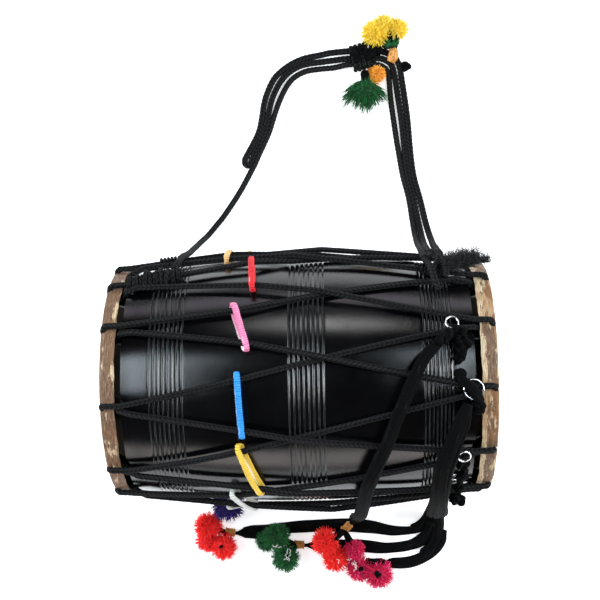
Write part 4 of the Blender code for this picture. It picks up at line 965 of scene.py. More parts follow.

# %% [markdown]
# ## Lacquer
#
# The lacquer is brushed on by hand and dries glossy. What makes it read as lacquer is its
# reflection: long soft lights lie on it in bands, broken up by fine brush lines that run round the
# drum and by an orange-peel skin. Grey specks of wear are scattered over it, and a painted highlight,
# light grey and broken into dashes, lies along the edges of the grooves.

# %% Lacquer finish
def lacquer_finish():
    made = Finish("black_lacquer", coat_roughness=0.03)
    x, turn, _ = made.round_axis()
    brushed = made.noise(made.vector(x * 1100.0, turn * 60.0, 0.0), 1.0, 3.0, 0.6)
    peel = made.noise(made.place(), 620, 3.0, 0.7)
    clouds = made.noise(made.place(), 9, 3.0)
    specks = made.between(made.noise(made.place(), 240, 4.0, 0.7), 0.69, 0.76)
    worn = made.between(made.noise(made.vector(x * 25.0, turn * 12.0, 2.0), 1.0, 4.0, 0.7), 0.58, 0.75)
    base = made.mix(made.between(clouds, 0.3, 0.7), (0.0006, 0.0006, 0.0008), (0.0018, 0.0018, 0.0022))
    # painted highlight: a light grey line along both edges of every groove, broken up by the patchy mask below
    painted_groove_glints = 0.0
    for centre, pitch in GROOVE_BANDS:
        away = x - centre
        wave = made.sine(away * (2 * math.pi / pitch) + math.pi / 2)
        near = made.between(away * away, (4.05 * pitch) ** 2, (3.95 * pitch) ** 2)
        painted_groove_glints = painted_groove_glints + near * made.between(wave, -0.35, -0.62) * made.between(wave, -0.98, -0.80)
    patchy = made.between(made.noise(made.vector(x * 160.0, turn * 30.0, 4.0), 1.0, 4.0, 0.7), 0.40, 0.62)
    base = made.mix(painted_groove_glints * (0.25 + patchy * 0.6), base, (0.075, 0.075, 0.075))
    made.set("Base Color", made.mix(specks * worn * 0.5, base, (0.09, 0.09, 0.09)))
    made.set("Roughness", 0.10 + made.between(clouds, 0.35, 0.75) * 0.10 + worn * 0.12)
    made.set("Specular IOR Level", 0.5)
    made.bump(brushed * 0.8 + peel * 0.9, 0.00015, 0.8)
    return made


lacquer = lacquer_finish()
shell = piece("turned_shell", shell_form, lacquer, "black_lacquer", ["barrel_shell"], sharp=38)
print("shell", triangles_of(shell), "triangles")

# %% [markdown]
# ## Skins and hoops
#
# Each head is a goatskin that is wetted, lapped round an iron hoop and left to dry hard. It goes
# flat over the mouth, up a ramp to the hoop, round its front and back along its outside, which is
# the brown band that the photograph shows. The rope passes through the ramp, so a way is cut for
# each turn of the lacing.

# %% Skins
SKIN_SIDES = 240
# the photograph's hide stands this far in front of the CAD's, on the left and on the right
HIDE_FRONT = {-1: 0.0018, 1: 0.0040}


def eased(profile, rounds=2):
    """A profile with its corners cut: each side keeps its points at a quarter and three quarters."""
    for _ in range(rounds):
        before, after = profile[:-1], profile[1:]
        cut = np.stack([0.75 * before + 0.25 * after, 0.25 * before + 0.75 * after], axis=1).reshape(-1, 2)
        profile = np.vstack([profile[:1], cut, profile[-1:]])
    return profile


def skin_form(side):
    """The skin's profile spun round the axis, with dried ripples in its lap and a ragged edge."""
    head_x = BEARING_X + GAP + SKIN_THICKNESS
    fold = HOOP_INNER + 0.0010
    lap = HOOP_OUTER + GAP
    front = HALF_LENGTH + HIDE_FRONT[side]
    back = HALF_LENGTH - BAND_WIDTH + 0.0003
    outer = np.array([(head_x, 0.004), (head_x, 0.05), (head_x, 0.10), (head_x, REBATE_RADIUS - 0.0065),
                      (head_x + 0.0028, fold - 0.0070), (front, fold), (front, fold + 0.0030),
                      (front - 0.0022, BAND_RADIUS), (front - 0.011, BAND_RADIUS), (back, BAND_RADIUS)])
    inner = np.array([(back, lap), (HALF_LENGTH - 0.011, lap),
                      (HALF_LENGTH - 0.0036, lap), (HALF_LENGTH - 0.0018, fold),
                      (head_x - SKIN_THICKNESS, REBATE_RADIUS - 0.0050), (head_x - SKIN_THICKNESS, 0.10),
                      (head_x - SKIN_THICKNESS, 0.004)])
    profile = np.vstack([eased(outer), eased(inner)])
    x, radius = profile[:, :1], profile[:, 1:]
    turn = 2 * np.pi * np.arange(SKIN_SIDES)[None, :] / SKIN_SIDES
    lapped = np.clip((radius - HOOP_INNER) / 0.004, 0, 1)
    ripple = 0.00028 * np.sin(23 * turn + 900 * x) + 0.00022 * np.sin(41 * turn + side)
    ragged = np.clip((HALF_LENGTH - 0.014 - x) / 0.008, 0, 1)
    edge = 0.0007 * np.sin(13 * turn + 2 * side) + 0.0005 * np.sin(31 * turn) + 0.0003 * np.sin(67 * turn)
    points = polar(side * (x + ragged * edge), radius + lapped * ripple * (radius > lap + 0.0005),
                   np.degrees(turn) * side)
    return grid(points, capped=True, along=lengths(profile))


def with_rope_ways(form, side, name):
    """The skin with a hole cut for every turn of the lacing, a little wider than the rope."""
    skin = bpy.data.objects.new(name, mesh_of(name, form))
    cutters = None
    angles = LEFT_APEXES if side < 0 else RIGHT_APEXES
    for angle in angles:
        x, radius, degrees = hoop_turn(side, angle)
        x = np.insert(x[:-1], 0, side * LACE_OVER_X)
        radius = np.insert(radius[:-1], 0, ROPE_OVER_BAND)
        path = through(polar(x, radius, np.insert(degrees[:-1], 0, angle + APEX_HALF_ANGLE)), 0.002)
        way = sweep(path, circle(ROPE_RADIUS + 0.0009, 14))
        cutters = way if cutters is None else cutters + way
    tool = bpy.data.objects.new(name + "_ways", mesh_of(name + "_ways", cutters))
    for made in (skin, tool):
        bpy.context.scene.collection.objects.link(made)
    cut = skin.modifiers.new("ways", "BOOLEAN")
    cut.operation = "DIFFERENCE"
    cut.solver = "EXACT"
    cut.object = tool
    bpy.context.view_layer.update()
    mesh = bpy.data.meshes.new_from_object(skin.evaluated_get(bpy.context.evaluated_depsgraph_get()))
    bpy.data.objects.remove(tool)
    if len(mesh.polygons) < len(skin.data.polygons):
        raise RuntimeError(name + ": the rope ways were not cut")
    skin.modifiers.clear()
    skin.data = mesh
    mesh.shade_smooth()
    mesh.set_sharp_from_angle(angle=math.radians(40))
    return skin


def hide_finish():
    made = Finish("goatskin")
    x, turn, radius = made.round_axis()
    on_band = made.between(radius, HOOP_INNER - 0.002, HOOP_INNER + 0.002)
    streaks = made.noise(made.vector(x * 620.0, turn * 75.0, 1.0), 1.0, 6.0, 0.72)
    blots = made.noise(made.vector(x * 75.0, turn * 26.0, 5.0), 1.0, 6.0, 0.68)
    inner = made.between(x * x, 0.271 ** 2, 0.262 ** 2)
    right = made.between(x, 0.1, 0.2)
    pale = made.between(blots + inner * (0.03 + right * 0.12) - 0.07 + right * 0.05, 0.50, 0.57)
    brown = made.ramp(streaks, [(0.30, (0.026, 0.011, 0.006)), (0.42, (0.085, 0.039, 0.018)),
                                (0.52, (0.17, 0.088, 0.044)), (0.62, (0.24, 0.15, 0.090)), (0.72, (0.42, 0.33, 0.24))])
    cream = made.ramp(streaks, [(0.32, (0.20, 0.11, 0.05)), (0.46, (0.48, 0.34, 0.19)), (0.60, (0.70, 0.57, 0.38)), (0.72, (0.80, 0.70, 0.52))])
    dirt = made.between(made.noise(made.place(), 300, 4.0, 0.7), 0.58, 0.70)
    band = made.mix(pale, brown, cream)
    rust = made.between(made.noise(made.vector(x * 34.0, turn * 11.0, 9.0), 1.0, 3.0, 0.6), 0.47, 0.60)
    band = made.mix(rust * (0.18 + right * 0.42), band, (0.26, 0.105, 0.028))
    band = made.mix(dirt * 0.6, band, (0.05, 0.032, 0.024))
    cloud = made.noise(made.place(), 14, 5.0, 0.6)
    head = made.ramp(cloud, [(0.3, (0.42, 0.31, 0.19)), (0.5, (0.60, 0.49, 0.34)), (0.7, (0.70, 0.60, 0.45))])
    pores = made.noise(made.place(), 700, 2.0, 0.6)
    rim = made.between(radius, 0.125, 0.150)
    head = made.mix(rim * 0.5, head, (0.22, 0.13, 0.08))
    made.set("Base Color", made.mix(on_band, head, band))
    made.set("Roughness", 0.52 + streaks * 0.25)
    made.bump(streaks * 0.6 + pores * 0.25 + pale * 0.5, 0.0006, 0.6)
    return made


hide = hide_finish()
for side, label in ((-1, "left"), (1, "right")):
    skin = with_rope_ways(skin_form(side), side, label + "_goatskin")
    skin.data.materials.clear()
    skin.data.materials.append(hide.material)
    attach(skin, "drum")
    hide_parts(label + "_skin")
    print(skin.name, triangles_of(skin), "triangles")

# %% Hoops
def iron_finish():
    made = Finish("rusty_iron", metallic=1.0)
    rust = made.between(made.noise(made.place(), 120, 5.0, 0.65), 0.45, 0.62)
    made.set("Base Color", made.mix(rust, (0.19, 0.18, 0.175), (0.12, 0.045, 0.02)))
    made.set("Metallic", 1.0 - rust * 0.8)
    made.set("Roughness", 0.4 + rust * 0.4)
    made.bump(rust, 0.0003, 0.5)
    return made


iron = iron_finish()
for side, label in ((-1, "left"), (1, "right")):
    soft = 0.0009
    outline = np.array([(HOOP_BACK_X, HOOP_INNER + soft), (HOOP_BACK_X + soft, HOOP_INNER),
                        (HOOP_FRONT_X - soft, HOOP_INNER), (HOOP_FRONT_X, HOOP_INNER + soft),
                        (HOOP_FRONT_X, HOOP_OUTER - soft), (HOOP_FRONT_X - soft, HOOP_OUTER),
                        (HOOP_BACK_X + soft, HOOP_OUTER), (HOOP_BACK_X, HOOP_OUTER - soft)])
    points = polar(side * outline[:, :1], outline[:, 1:], side * turn_angle[None, :])
    made = piece(label + "_iron_hoop", grid(points, closed_along=True), iron, "hoop_iron", [label + "_hoop"], sharp=50)
    print(made.name, triangles_of(made), "triangles")

# %% [markdown]
# ## Tuning rings
#
# A tuning ring is a flat loop wound with silky coloured thread. One strand lies over both ropes of a
# pair, its ends go round them, and the other strand runs back underneath. Its section is a lens that
# is carried along the loop, with one ridge for each turn of thread and a ragged edge where some
# turns stand wider. Each ring rides on a body of its own, because it slides to tune the drum.

# %% Rings
RING_END_SLACK = 0.0019
THREAD_PITCH = 0.0034
ROWS_PER_TURN = 8
SLIMMER = 0.86
RING_SIDES = 16
# how far the strand underneath is pushed along the drum, and how far the one on top arches up
RINGS = {"cream": (0.0, 0.0004), "red": (0.0010, 0.0010), "pink": (-0.0036, 0.0008), "blue": (-0.0016, 0.0010),
         "yellow": (0.0034, 0.0012), "white": (0.0020, 0.0008), "white_low": (0.0, 0.0006),
         "cream_rear": (0.0012, 0.0006), "red_rear": (-0.0012, 0.0006), "pink_rear": (0.0010, 0.0006),
         "blue_rear": (0.0, 0.0006), "yellow_rear": (0.0012, 0.0006)}
THREADS = {"cream": (0.86, 0.50, 0.18), "red": (0.74, 0.006, 0.014), "pink": (0.94, 0.26, 0.48),
           "blue": (0.020, 0.32, 0.90), "yellow": (0.94, 0.60, 0.060), "white": (0.78, 0.77, 0.73)}


def ring_loop(index, push, arch):
    """The middle line of a ring: an arc over the ropes, a half circle round one, an arc back, another half."""
    x_upper, upper, x_lower, lower = ring_seat(index)
    reach = ROPE_RADIUS + RING_CLEARANCE + RING_THICKNESS / 2
    slope = abs(x_upper - x_lower) / (float(lifted_line(x_upper)) * math.radians(upper - lower))
    slack = RING_END_SLACK + RING_WIDTH / 2 * slope
    share = np.linspace(0, 1, 40)

    def strand(share, lift):
        x = x_lower + share * (x_upper - x_lower)
        moved = x + push * (1 - lift / reach) / 2
        raised = arch * np.sin(np.pi * share) if lift > 0 else 0.0
        return polar(moved, lifted_line(x) + lift + raised, lower + share * (upper - lower))

    parts = [strand(share, reach)]
    for end, way in ((1.0, 1), (0.0, -1)):
        rope = strand(end, 0.0)
        along = (strand(1.0, 0.0) - strand(0.0, 0.0)) * way
        out = polar(0.0, 1.0, upper if way > 0 else lower) - polar(0.0, 0.0, 0.0)
        along = unit(along - np.dot(along, out) * out)
        bend = np.radians(np.linspace(90, -90, 13))[:, None]
        shift = np.array([push / 2, 0.0, 0.0]) * np.sin(bend) * way
        parts.append(rope + out * reach * np.sin(bend) * way + along * (reach * np.cos(bend) + slack) - shift)
        if way > 0:
            parts.append(strand(share[::-1], -reach))
    return spaced(np.vstack(parts), THREAD_PITCH / ROWS_PER_TURN, True)


def ring_form(path, seed):
    """A lens section along the loop, swelled by each turn of thread, with turns of unequal width."""
    rng = np.random.default_rng(seed)
    row = np.arange(len(path))
    wind = row / ROWS_PER_TURN
    turns = int(wind[-1]) + 2
    # the loop is pinched where it bends round a rope, so its ends look round from above
    middle = path.mean(0)
    from_end = np.abs((path - middle) @ unit(path[len(path) // 5] - path[0]))
    narrow = 0.84 + 0.16 * np.clip((from_end.max() - from_end) / 0.006, 0, 1) ** 0.5
    ridge = np.abs(np.sin(np.pi * wind)) ** 0.7
    wider = np.interp(wind, np.arange(turns), rng.normal(0, 0.00022, turns))
    half_wide = (RING_WIDTH / 2 * SLIMMER - 0.0008 + wider + 0.00125 * ridge) * narrow
    half_thick = RING_THICKNESS / 2 + 0.0001 + 0.00055 * ridge
    angle = 2 * np.pi * np.arange(RING_SIDES) / RING_SIDES
    across = np.sign(np.cos(angle)) * np.abs(np.cos(angle)) ** 0.75
    deep = np.sign(np.sin(angle)) * np.abs(np.sin(angle)) ** 0.9
    section = np.stack([half_wide[:, None] * across, half_thick[:, None] * deep], axis=-1)
    sideways = np.array([1.0, 0.0, 0.0])
    ahead = unit(np.roll(path, -1, axis=0) - np.roll(path, 1, axis=0))
    side = unit(sideways - (ahead @ sideways)[:, None] * ahead)
    rise = np.cross(ahead, side)
    points = path[:, None] + section[..., :1] * side[:, None] + section[..., 1:] * rise[:, None]
    return grid(points, closed_along=True, along=wind)


def thread_finish(label, colour):
    made = Finish("silky_thread_" + label, roughness=0.36)
    across, wind = made.pattern()
    turn = made.noise(made.vector(0.0, wind * 0.9, 0.0), 1.0, 2.0, 0.5)
    long_shade = made.noise(made.vector(across * 3.0, wind * 0.05, 3.0), 1.0, 2.0)
    ridge = made.sine(wind * math.pi)
    ridge = ridge * ridge
    dark = tuple(value * 0.38 for value in colour)
    pale = tuple(value + (1 - value) * 0.08 for value in colour)
    # painted shade: the colour darkens in the hollows between the turns of thread
    base = made.mix(made.between(ridge, 0.0, 0.35), dark, colour)
    base = made.mix(made.between(turn, 0.35, 0.75) * 0.6, base, pale)
    # painted highlight: a near-white streak that runs along the loop
    painted_highlight_streak = made.noise(made.vector(across * 3.5, wind * 0.035, 7.0), 1.0, 1.0)
    base = made.mix(made.between(painted_highlight_streak, 0.61, 0.66) * 0.8, base, (0.86, 0.84, 0.80))
    made.set("Base Color", made.mix(made.between(long_shade, 0.62, 0.35) * 0.35, base, dark))
    made.set("Roughness", 0.30 + turn * 0.2)
    made.set("Specular IOR Level", 0.25)
    made.bump(ridge + made.noise(made.place(), 1600, 2.0) * 0.3, 0.0003, 0.7)
    return made


threads = {label: thread_finish(label, colour) for label, colour in THREADS.items()}
for number, (label, (push, arch)) in enumerate(RINGS.items()):
    colour = label.split("_")[0]
    made = piece("wound_ring_" + label, ring_form(ring_loop(number, push, arch), 10 + number), threads[colour],
                 "ring_thread_" + colour, ["tuning_ring_" + label], body="tuning_ring_" + label)
print(len(RINGS), "rings of", triangles_of(made), "triangles")

# %% [markdown]
# ## Steel rings
#
# Four bright wire rings hold the tassel cords to the lacing. Each is a torus, a circle carried round
# a circle, and its middle is where the CAD set its solid down.

# %% Steel rings
STEEL_WIRE_RADIUS = 0.0014
RING_LEAN = 0.09
STEEL_RINGS = {"a": 0.009, "b": 0.0135, "c": 0.009, "d": 0.010}


def middle_of(node):
    low, high = (np.array(corner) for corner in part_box(node))
    return (low + high) / 2


def torus(middle, axis, radius, wire, rows=72, sides=14):
    """A circle of the wire's radius carried round a circle that stands across the axis."""
    axis = unit(np.array(axis, float))
    side = unit(np.cross(axis, [0.3, 0.9, 0.2]))
    turn = 2 * np.pi * np.arange(rows)[:, None] / rows
    line = middle + radius * (np.cos(turn) * side + np.sin(turn) * np.cross(axis, side))
    return sweep(line, circle(wire, sides), closed=True, up=axis)


def steel_finish():
    made = Finish("bright_steel", metallic=1.0)
    scratch = made.noise(made.place(), 900, 3.0, 0.7)
    dull = made.between(made.noise(made.place(), 130, 3.0), 0.5, 0.75)
    made.set("Base Color", made.mix(dull * 0.5, (0.86, 0.87, 0.89), (0.48, 0.46, 0.43)))
    made.set("Roughness", 0.08 + dull * 0.22)
    made.bump(scratch, 0.0001, 0.3)
    return made


steel = steel_finish()
for label, radius in STEEL_RINGS.items():
    middle = middle_of("steel_ring_" + label)
    axis = np.array([0.0, middle[1], middle[2] - AXIS_HEIGHT])
    axis = unit(axis) + np.array([RING_LEAN, 0.0, 0.0])
    made = piece("steel_loop_" + label, torus(middle, axis, radius, STEEL_WIRE_RADIUS), steel, "nickel_ring",
                 ["steel_ring_" + label])
print("steel rings of", triangles_of(made), "triangles")

# %% [markdown]
# ## Cords of gathered cloth
#
# The tassel cords are strips of black cloth gathered into soft tubes. Such a tube lies down wider
# than it is high, swells and narrows along its way, and folds into long creases. Its section is an
# ellipse whose radius is moved in and out by a few slow waves round it, and the waves drift as they
# go along.

# %% Cloth tubes
TUBE_SIDES = 32
UP = np.array([0.0, 0.0, 1.0])


def eased_steps(along, stops):
    """A value that goes smoothly through (place, value) stops."""
    places, values = np.array(stops, float).T
    share = np.interp(along, places, np.arange(len(places)))
    whole = np.clip(share.astype(int), 0, len(places) - 2)
    part = share - whole
    part = part * part * (3 - 2 * part)
    return values[whole] + (values[whole + 1] - values[whole]) * part


def tapered(path, start, end):
    """Size along a cord: stops at distances from its start, times stops at distances from its tip."""
    along = lengths(path)
    return eased_steps(along, start) * eased_steps(along[-1] - along, end)


def cloth_tube(path, half_wide, half_high, size, seed, up, closed=False):
    """An ellipse along a path, times the size there, with creases of 3, 5, 8 and 11 waves round it."""
    rng = np.random.default_rng(seed)
    along = lengths(path)
    around = 2 * np.pi * along / along[-1]
    turn = 2 * np.pi * np.arange(TUBE_SIDES)[None, :] / TUBE_SIDES
    crease = 0.0
    for waves, deep in ((3, 0.035), (5, 0.045), (8, 0.055), (11, 0.040)):
        slow = np.sin(around) if closed else along * rng.uniform(-14, 14)
        drift = rng.uniform(0, 2 * np.pi) + slow + 1.4 * np.sin(2 * around if closed else along * rng.uniform(25, 60))
        crease = crease + deep * np.sin(waves * turn + drift[:, None])
    swell = 1 + (0.0 if closed else 0.035) * np.sin(along * 63 + seed) * np.sin(along * 23 + 2 * seed)
    radius = (1 + crease) * (size * swell)[:, None]
    section = np.stack([half_wide * radius * np.cos(turn), half_high * radius * np.sin(turn)], axis=-1)
    return sweep(path, section, closed=closed, up=up)


def outward(path):
    """The way out from the drum, which turns to straight up where the cord meets the floor."""
    away = path - np.array([0.0, 0.0, AXIS_HEIGHT])
    away[:, 0] = 0.0
    share = np.clip((path[:, 2:] - 0.015) / 0.07, 0, 1)
    share = share * share * (3 - 2 * share)
    return unit(unit(away) * share + UP * (1 - share))


def lowered(path, radius, half_high):
    """A flat tube's path: where the CAD's round cord rests on something, its middle comes down."""
    return path - outward(path) * (radius - half_high)


# half width and half height of each tassel cord
FIRST_TUBE = (0.0100, 0.0068)
SECOND_TUBE = (0.0102, 0.0056)
THIRD_TUBE = (0.0102, 0.0062)
FOURTH_TUBE = (0.0090, 0.0066)
NECK = [(0.0, 0.30), (0.030, 0.30), (0.036, 0.55), (0.044, 0.95), (0.058, 1.10), (0.085, 1.0)]
ROUND_END = [(0.0, 0.10), (0.002, 0.45), (0.006, 0.80), (0.013, 1.0), (0.020, 1.02)]
TUBES = {"tassel_cord_one": (first, CORD_THICK, FIRST_TUBE, [(0.0, 0.55), (0.02, 0.82), (0.10, 0.86), (0.30, 1.0)], NECK, 3),
         "tassel_cord_two": (second, CORD_THIN, SECOND_TUBE, [(0.0, 0.5), (0.02, 0.62), (0.07, 0.85), (0.12, 1.08),
                                                             (0.20, 1.04), (0.26, 0.88), (0.34, 0.98)], NECK, 5),
         "tassel_cord_three": (third, CORD_THICK, THIRD_TUBE, [(0.0, 0.6), (0.03, 0.95), (0.05, 0.86), (0.08, 0.84),
                                                              (0.13, 1.06), (0.15, 1.0), (0.18, 0.92), (0.30, 1.0)], NECK, 7),
         "tassel_cord_four": (fourth, CORD_FOUR, FOURTH_TUBE, [(0.0, 0.7), (0.02, 1.0)], ROUND_END, 9)}
tassel_cords = {}
for name, (path, radius, (half_wide, half_high), start, end, seed) in TUBES.items():
    path = rested(lowered(path, radius, half_high), half_high + 0.0006)
    size = tapered(path, start, end)
    form = cloth_tube(path, half_wide, half_high, size, seed, outward(path))
    tassel_cords[name] = (piece(name + "_cloth", form, soft_cotton, "black_cotton", [name]), path, 2 * half_wide)
fine = cloth_tube(fifth, CORD_FINE, CORD_FINE, tapered(fifth, [(0.0, 0.8), (0.02, 1.0)], [(0.0, 0.5), (0.02, 1.0)]),
                  11, outward(fifth))
tassel_cords["tassel_cord_five"] = (piece("tassel_cord_five_cloth", fine, soft_cotton, "black_cotton",
                                          ["tassel_cord_five"]), fifth, 2 * CORD_FINE)
print("tassel cords of", [triangles_of(made) for made, _, _ in tassel_cords.values()], "triangles")

# %% [markdown]
# ## The bundle
#
# The bundle that hangs over the drum's right end is three such tubes side by side. They press on
# each other at the top and spread a little on their way down, so the middle one shows as a ridge.

# %% Bundle
STRANDS = ((-0.0078, 0.0000, 0.0066, 21), (0.0000, 0.0022, 0.0068, 22), (0.0078, 0.0000, 0.0066, 23))
bundle_up = outward(bundle)
bundle_side = unit(np.cross(bundle_up, np.gradient(bundle, axis=0)))
bundle_along = lengths(bundle)
spread = eased_steps(bundle_along, [(0.0, 0.35), (0.03, 0.60), (0.12, 0.72), (0.24, 1.0), (0.36, 1.05), (0.42, 0.8)])
bundle_form = None
for aside, lift, half, seed in STRANDS:
    sway = 0.0012 * np.sin(bundle_along * 31 + seed)
    path = bundle + bundle_side * (aside * spread + sway)[:, None] + bundle_up * (lift - 0.0045)
    size = tapered(path, [(0.0, 0.7), (0.02, 1.0)], [(0.0, 0.50), (0.02, 0.75), (0.05, 1.0)])
    tube = cloth_tube(path, half * 1.15, half * 0.95, size, seed, bundle_up)
    bundle_form = tube if bundle_form is None else bundle_form + tube
bundle_cloth = piece("tassel_bundle_cloth", bundle_form, soft_cotton, "black_cotton", ["tassel_bundle"])
print("bundle", triangles_of(bundle_cloth), "triangles")

# %% [markdown]
# ## Knots
#
# Where cloth is tied it makes a lump of crossing turns. The simplest closed knot is the trefoil:
# sine of t plus twice sine of 2t one way, cosine of t less twice cosine of 2t the other, and sine of
# 3t up and down. Each knot below is a cloth tube along that curve, pressed to the size of its solid.

# %% Knots
def knot_form(middle, size, tube, seed, sides=None, tilt=0.0):
    """A trefoil of cloth that fills a box of half extents `size` round a middle."""
    rng = np.random.default_rng(seed)
    t = 2 * np.pi * np.arange(110) / 110
    curve = np.stack([np.sin(t) + 2 * np.sin(2 * t), np.cos(t) - 2 * np.cos(2 * t), -1.1 * np.sin(3 * t)], axis=-1)
    turned = np.linalg.qr(rng.normal(size=(3, 3)))[0]
    turned = turned if tilt == 0.0 else np.eye(3)
    curve = curve @ turned
    half = (curve.max(0) - curve.min(0)) / 2
    curve = (curve - (curve.max(0) + curve.min(0)) / 2) / half * (np.array(size) - tube * 0.85)
    path = spaced(middle + curve, 0.0012, True)
    radius = tube * (1 + 0.14 * np.sin(np.arange(len(path)) * 0.11 + seed))
    turn = 2 * np.pi * np.arange(20)[None, :] / 20
    row = np.arange(len(path))[:, None]
    crease = 1.07 - 0.24 * np.abs(np.cos(2.5 * turn + row * 0.10)) + 0.07 * np.sin(row * 0.55 + seed)
    section = np.stack([np.cos(turn) * crease, np.sin(turn) * crease], axis=-1) * radius[:, None, None]
    return sweep(path, section, closed=True)


def box_of(node):
    """Middle and half extents of a node's box."""
    low, high = (np.array(corner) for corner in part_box(node))
    return (low + high) / 2, (high - low) / 2


def loose_end(points, radius, seed):
    """A short end of cloth through a few points, rounded at both ends."""
    path = through(points, 0.0015)
    size = tapered(path, [(0.0, 0.55), (0.005, 1.0)], [(0.0, 0.3), (0.002, 0.7), (0.006, 1.0)])
    return cloth_tube(path, radius, radius * 0.85, size, seed, outward(path))


# more knots and ends beside a node's own: x, distance from the drum's axis and angle, then half size
BESIDE = {"ring_knot_a": [((0.2195, 0.1840, 19.5), 0.0095), ((0.2310, 0.1840, 19.0), 0.0100),
                          ((0.2365, 0.1835, 13.3), 0.0095), ((0.2258, 0.1845, 15.3), 0.0100),
                          ((0.2308, 0.1835, 10.4), 0.0095), ((0.2274, 0.1820, 7.4), 0.0088)],
          "ring_knot_c": [((0.2283, 0.1860, -42.9), 0.0080), ((0.2350, 0.1850, -50.8), 0.0100),
                          ((0.2324, 0.1860, -61.0), 0.0085)],
          "ring_knot_d": [((0.2280, 0.1940, -73.5), 0.0080), ((0.2390, 0.1940, -76.0), 0.0075)]}
for number, node in enumerate(("ring_knot_a", "ring_knot_c", "ring_knot_d", "tassel_join_knot", "rope_end_knob")):
    middle, half = box_of(node)
    form = knot_form(middle, half * 1.12, float(half.min()) * 0.44, 31 + number)
    form = form + knot_form(middle, half * 0.9, float(half.min()) * 0.42, 51 + number)
    for extra, ((x, reach, degrees), size) in enumerate(BESIDE.get(node, [])):
        form = form + knot_form(polar(x, reach, degrees), (size, size, size), size * 0.43, 61 + 5 * number + extra)
    made = piece(node + "_tied", form, soft_cotton, "black_cotton", [node])
    print(made.name, triangles_of(made), "triangles")

near_ring_b = loose_end([polar(0.2225, 0.1850, 2.3), polar(0.2300, 0.1895, -1.8), polar(0.2420, 0.1920, -5.0),
                         polar(0.2520, 0.1900, -9.3), polar(0.2555, 0.1850, -13.0)], 0.0066, 71)
near_ring_b = near_ring_b + knot_form(polar(0.2535, 0.1860, -14.3), (0.0100, 0.0090, 0.008), 0.0040, 72)
near_ring_b = near_ring_b + loose_end([polar(0.2345, 0.1870, -0.8), polar(0.2290, 0.1895, 1.4),
                                       polar(0.2240, 0.1880, 0.3)], 0.0060, 73)
tie_b = piece("tie_at_ring_b", near_ring_b, soft_cotton, "black_cotton")
print(tie_b.name, triangles_of(tie_b), "triangles")

# the bundle forks into three cords, whose cloth runs out of its end
fork = loose_end([(0.2120, -0.2215, 0.046), (0.2090, -0.2330, 0.026), (0.2020, -0.2470, 0.0125),
                  (0.1900, -0.2585, 0.0078), (0.1760, -0.2645, 0.0074)], 0.0080, 74)
fork = fork + loose_end([(0.2165, -0.2230, 0.044), (0.2160, -0.2400, 0.022), (0.2110, -0.2580, 0.0110),
                         (0.2010, -0.2740, 0.0084), (0.1860, -0.2850, 0.0080)], 0.0088, 75)
fork = fork + loose_end([(0.2205, -0.2230, 0.042), (0.2225, -0.2420, 0.022), (0.2230, -0.2610, 0.0115),
                         (0.2190, -0.2810, 0.0095), (0.2070, -0.2985, 0.0092), (0.1930, -0.3080, 0.0090)], 0.0098, 76)
bundle_fork = piece("bundle_fork_cloth", fork, soft_cotton, "black_cotton")
print(bundle_fork.name, triangles_of(bundle_fork), "triangles")

# %% [markdown]
# ## Gold bindings
#
# Thread of a metallic gold colour is wound round each cord's neck and fans out towards the pompoms.
# The form is a waisted profile turned about the cord's line, with a ridge for each turn of thread.

# %% Bindings
BINDING_SET_BACK = 0.013
BINDING_LENGTH = 0.012
BINDING_SIDES = 40


def gold_finish():
    made = Finish("gold_thread", metallic=0.35, roughness=0.42)
    across, along = made.pattern()
    strands = made.noise(made.vector(across * 14.0, along * 260.0, 0.0), 1.0, 3.0, 0.6)
    blots = made.noise(made.place(), 260, 3.0, 0.6)
    base = made.ramp(strands, [(0.30, (0.10, 0.035, 0.006)), (0.45, (0.52, 0.20, 0.035)), (0.60, (0.75, 0.36, 0.09)),
                               (0.75, (0.90, 0.62, 0.28))])
    made.set("Base Color", made.mix(made.between(blots, 0.60, 0.70) * 0.85, base, (0.02, 0.012, 0.008)))
    made.set("Roughness", 0.35 + strands * 0.3)
    made.bump(strands, 0.0006, 0.7)
    return made


gold = gold_finish()
for label, path, cord in (("one", first, "tassel_cord_one"), ("two", second, "tassel_cord_two"),
                          ("three", third, "tassel_cord_three")):
    middle, half = box_of("gold_binding_" + label)
    tip = path[-1]
    back = unit(path[-20] - tip)
    share = np.linspace(0, 1, 34)
    line = middle + back * (BINDING_LENGTH * 0.72) * (1 - 2 * share[:, None])
    radius = 0.0043 + 0.0030 * share ** 2 + 0.0016 * (1 - share) ** 3 + 0.0009 * np.abs(np.sin(share * 19))
    turn = 2 * np.pi * np.arange(BINDING_SIDES)[None, :] / BINDING_SIDES
    ruffle = 1 + (share[:, None] - 0.4) ** 2 * (0.50 * np.sin(7 * turn) + 0.35 * np.sin(13 * turn + 2))
    ruffle = ruffle + 0.10 * np.sin(3 * turn + 9 * share[:, None])
    section = np.stack([np.cos(turn) * ruffle * 1.15, np.sin(turn) * ruffle], axis=-1) * radius[:, None, None]
    form = sweep(line, section * 0.86, up=UP)
    for slant, turns, reach in ((0.0022, 5, 0.0050), (-0.0026, 4, 0.0056)):
        wound = helix(middle + back * 0.0065 + UP * slant, middle - back * 0.0062 - UP * slant, UP, reach * 1.1, reach, turns)
        form = form + sweep(wound, circle(0.0011, 8))
    form.points[:, 2] = np.maximum(form.points[:, 2], 0.0004)
    made = piece("gold_binding_" + label + "_wound", form, gold, "gold_thread", ["gold_binding_" + label])
print("bindings of", triangles_of(made), "triangles")

# %% [markdown]
# ## Pompoms
#
# A pompom is a few hundred cut ends of yarn tied at the middle. Here each end is its own thin
# three-sided tube. The directions come from the golden angle, which spreads points evenly over a
# ball, with a little seeded jitter so that ends gather in tufts. The yarn's finish gives every end
# its own shade and darkens it towards the root. Ends that would go through the floor lie flat on it.

# %% Yarn
YARN_ROWS = 5
GOLDEN_ANGLE = math.pi * (3 - math.sqrt(5))


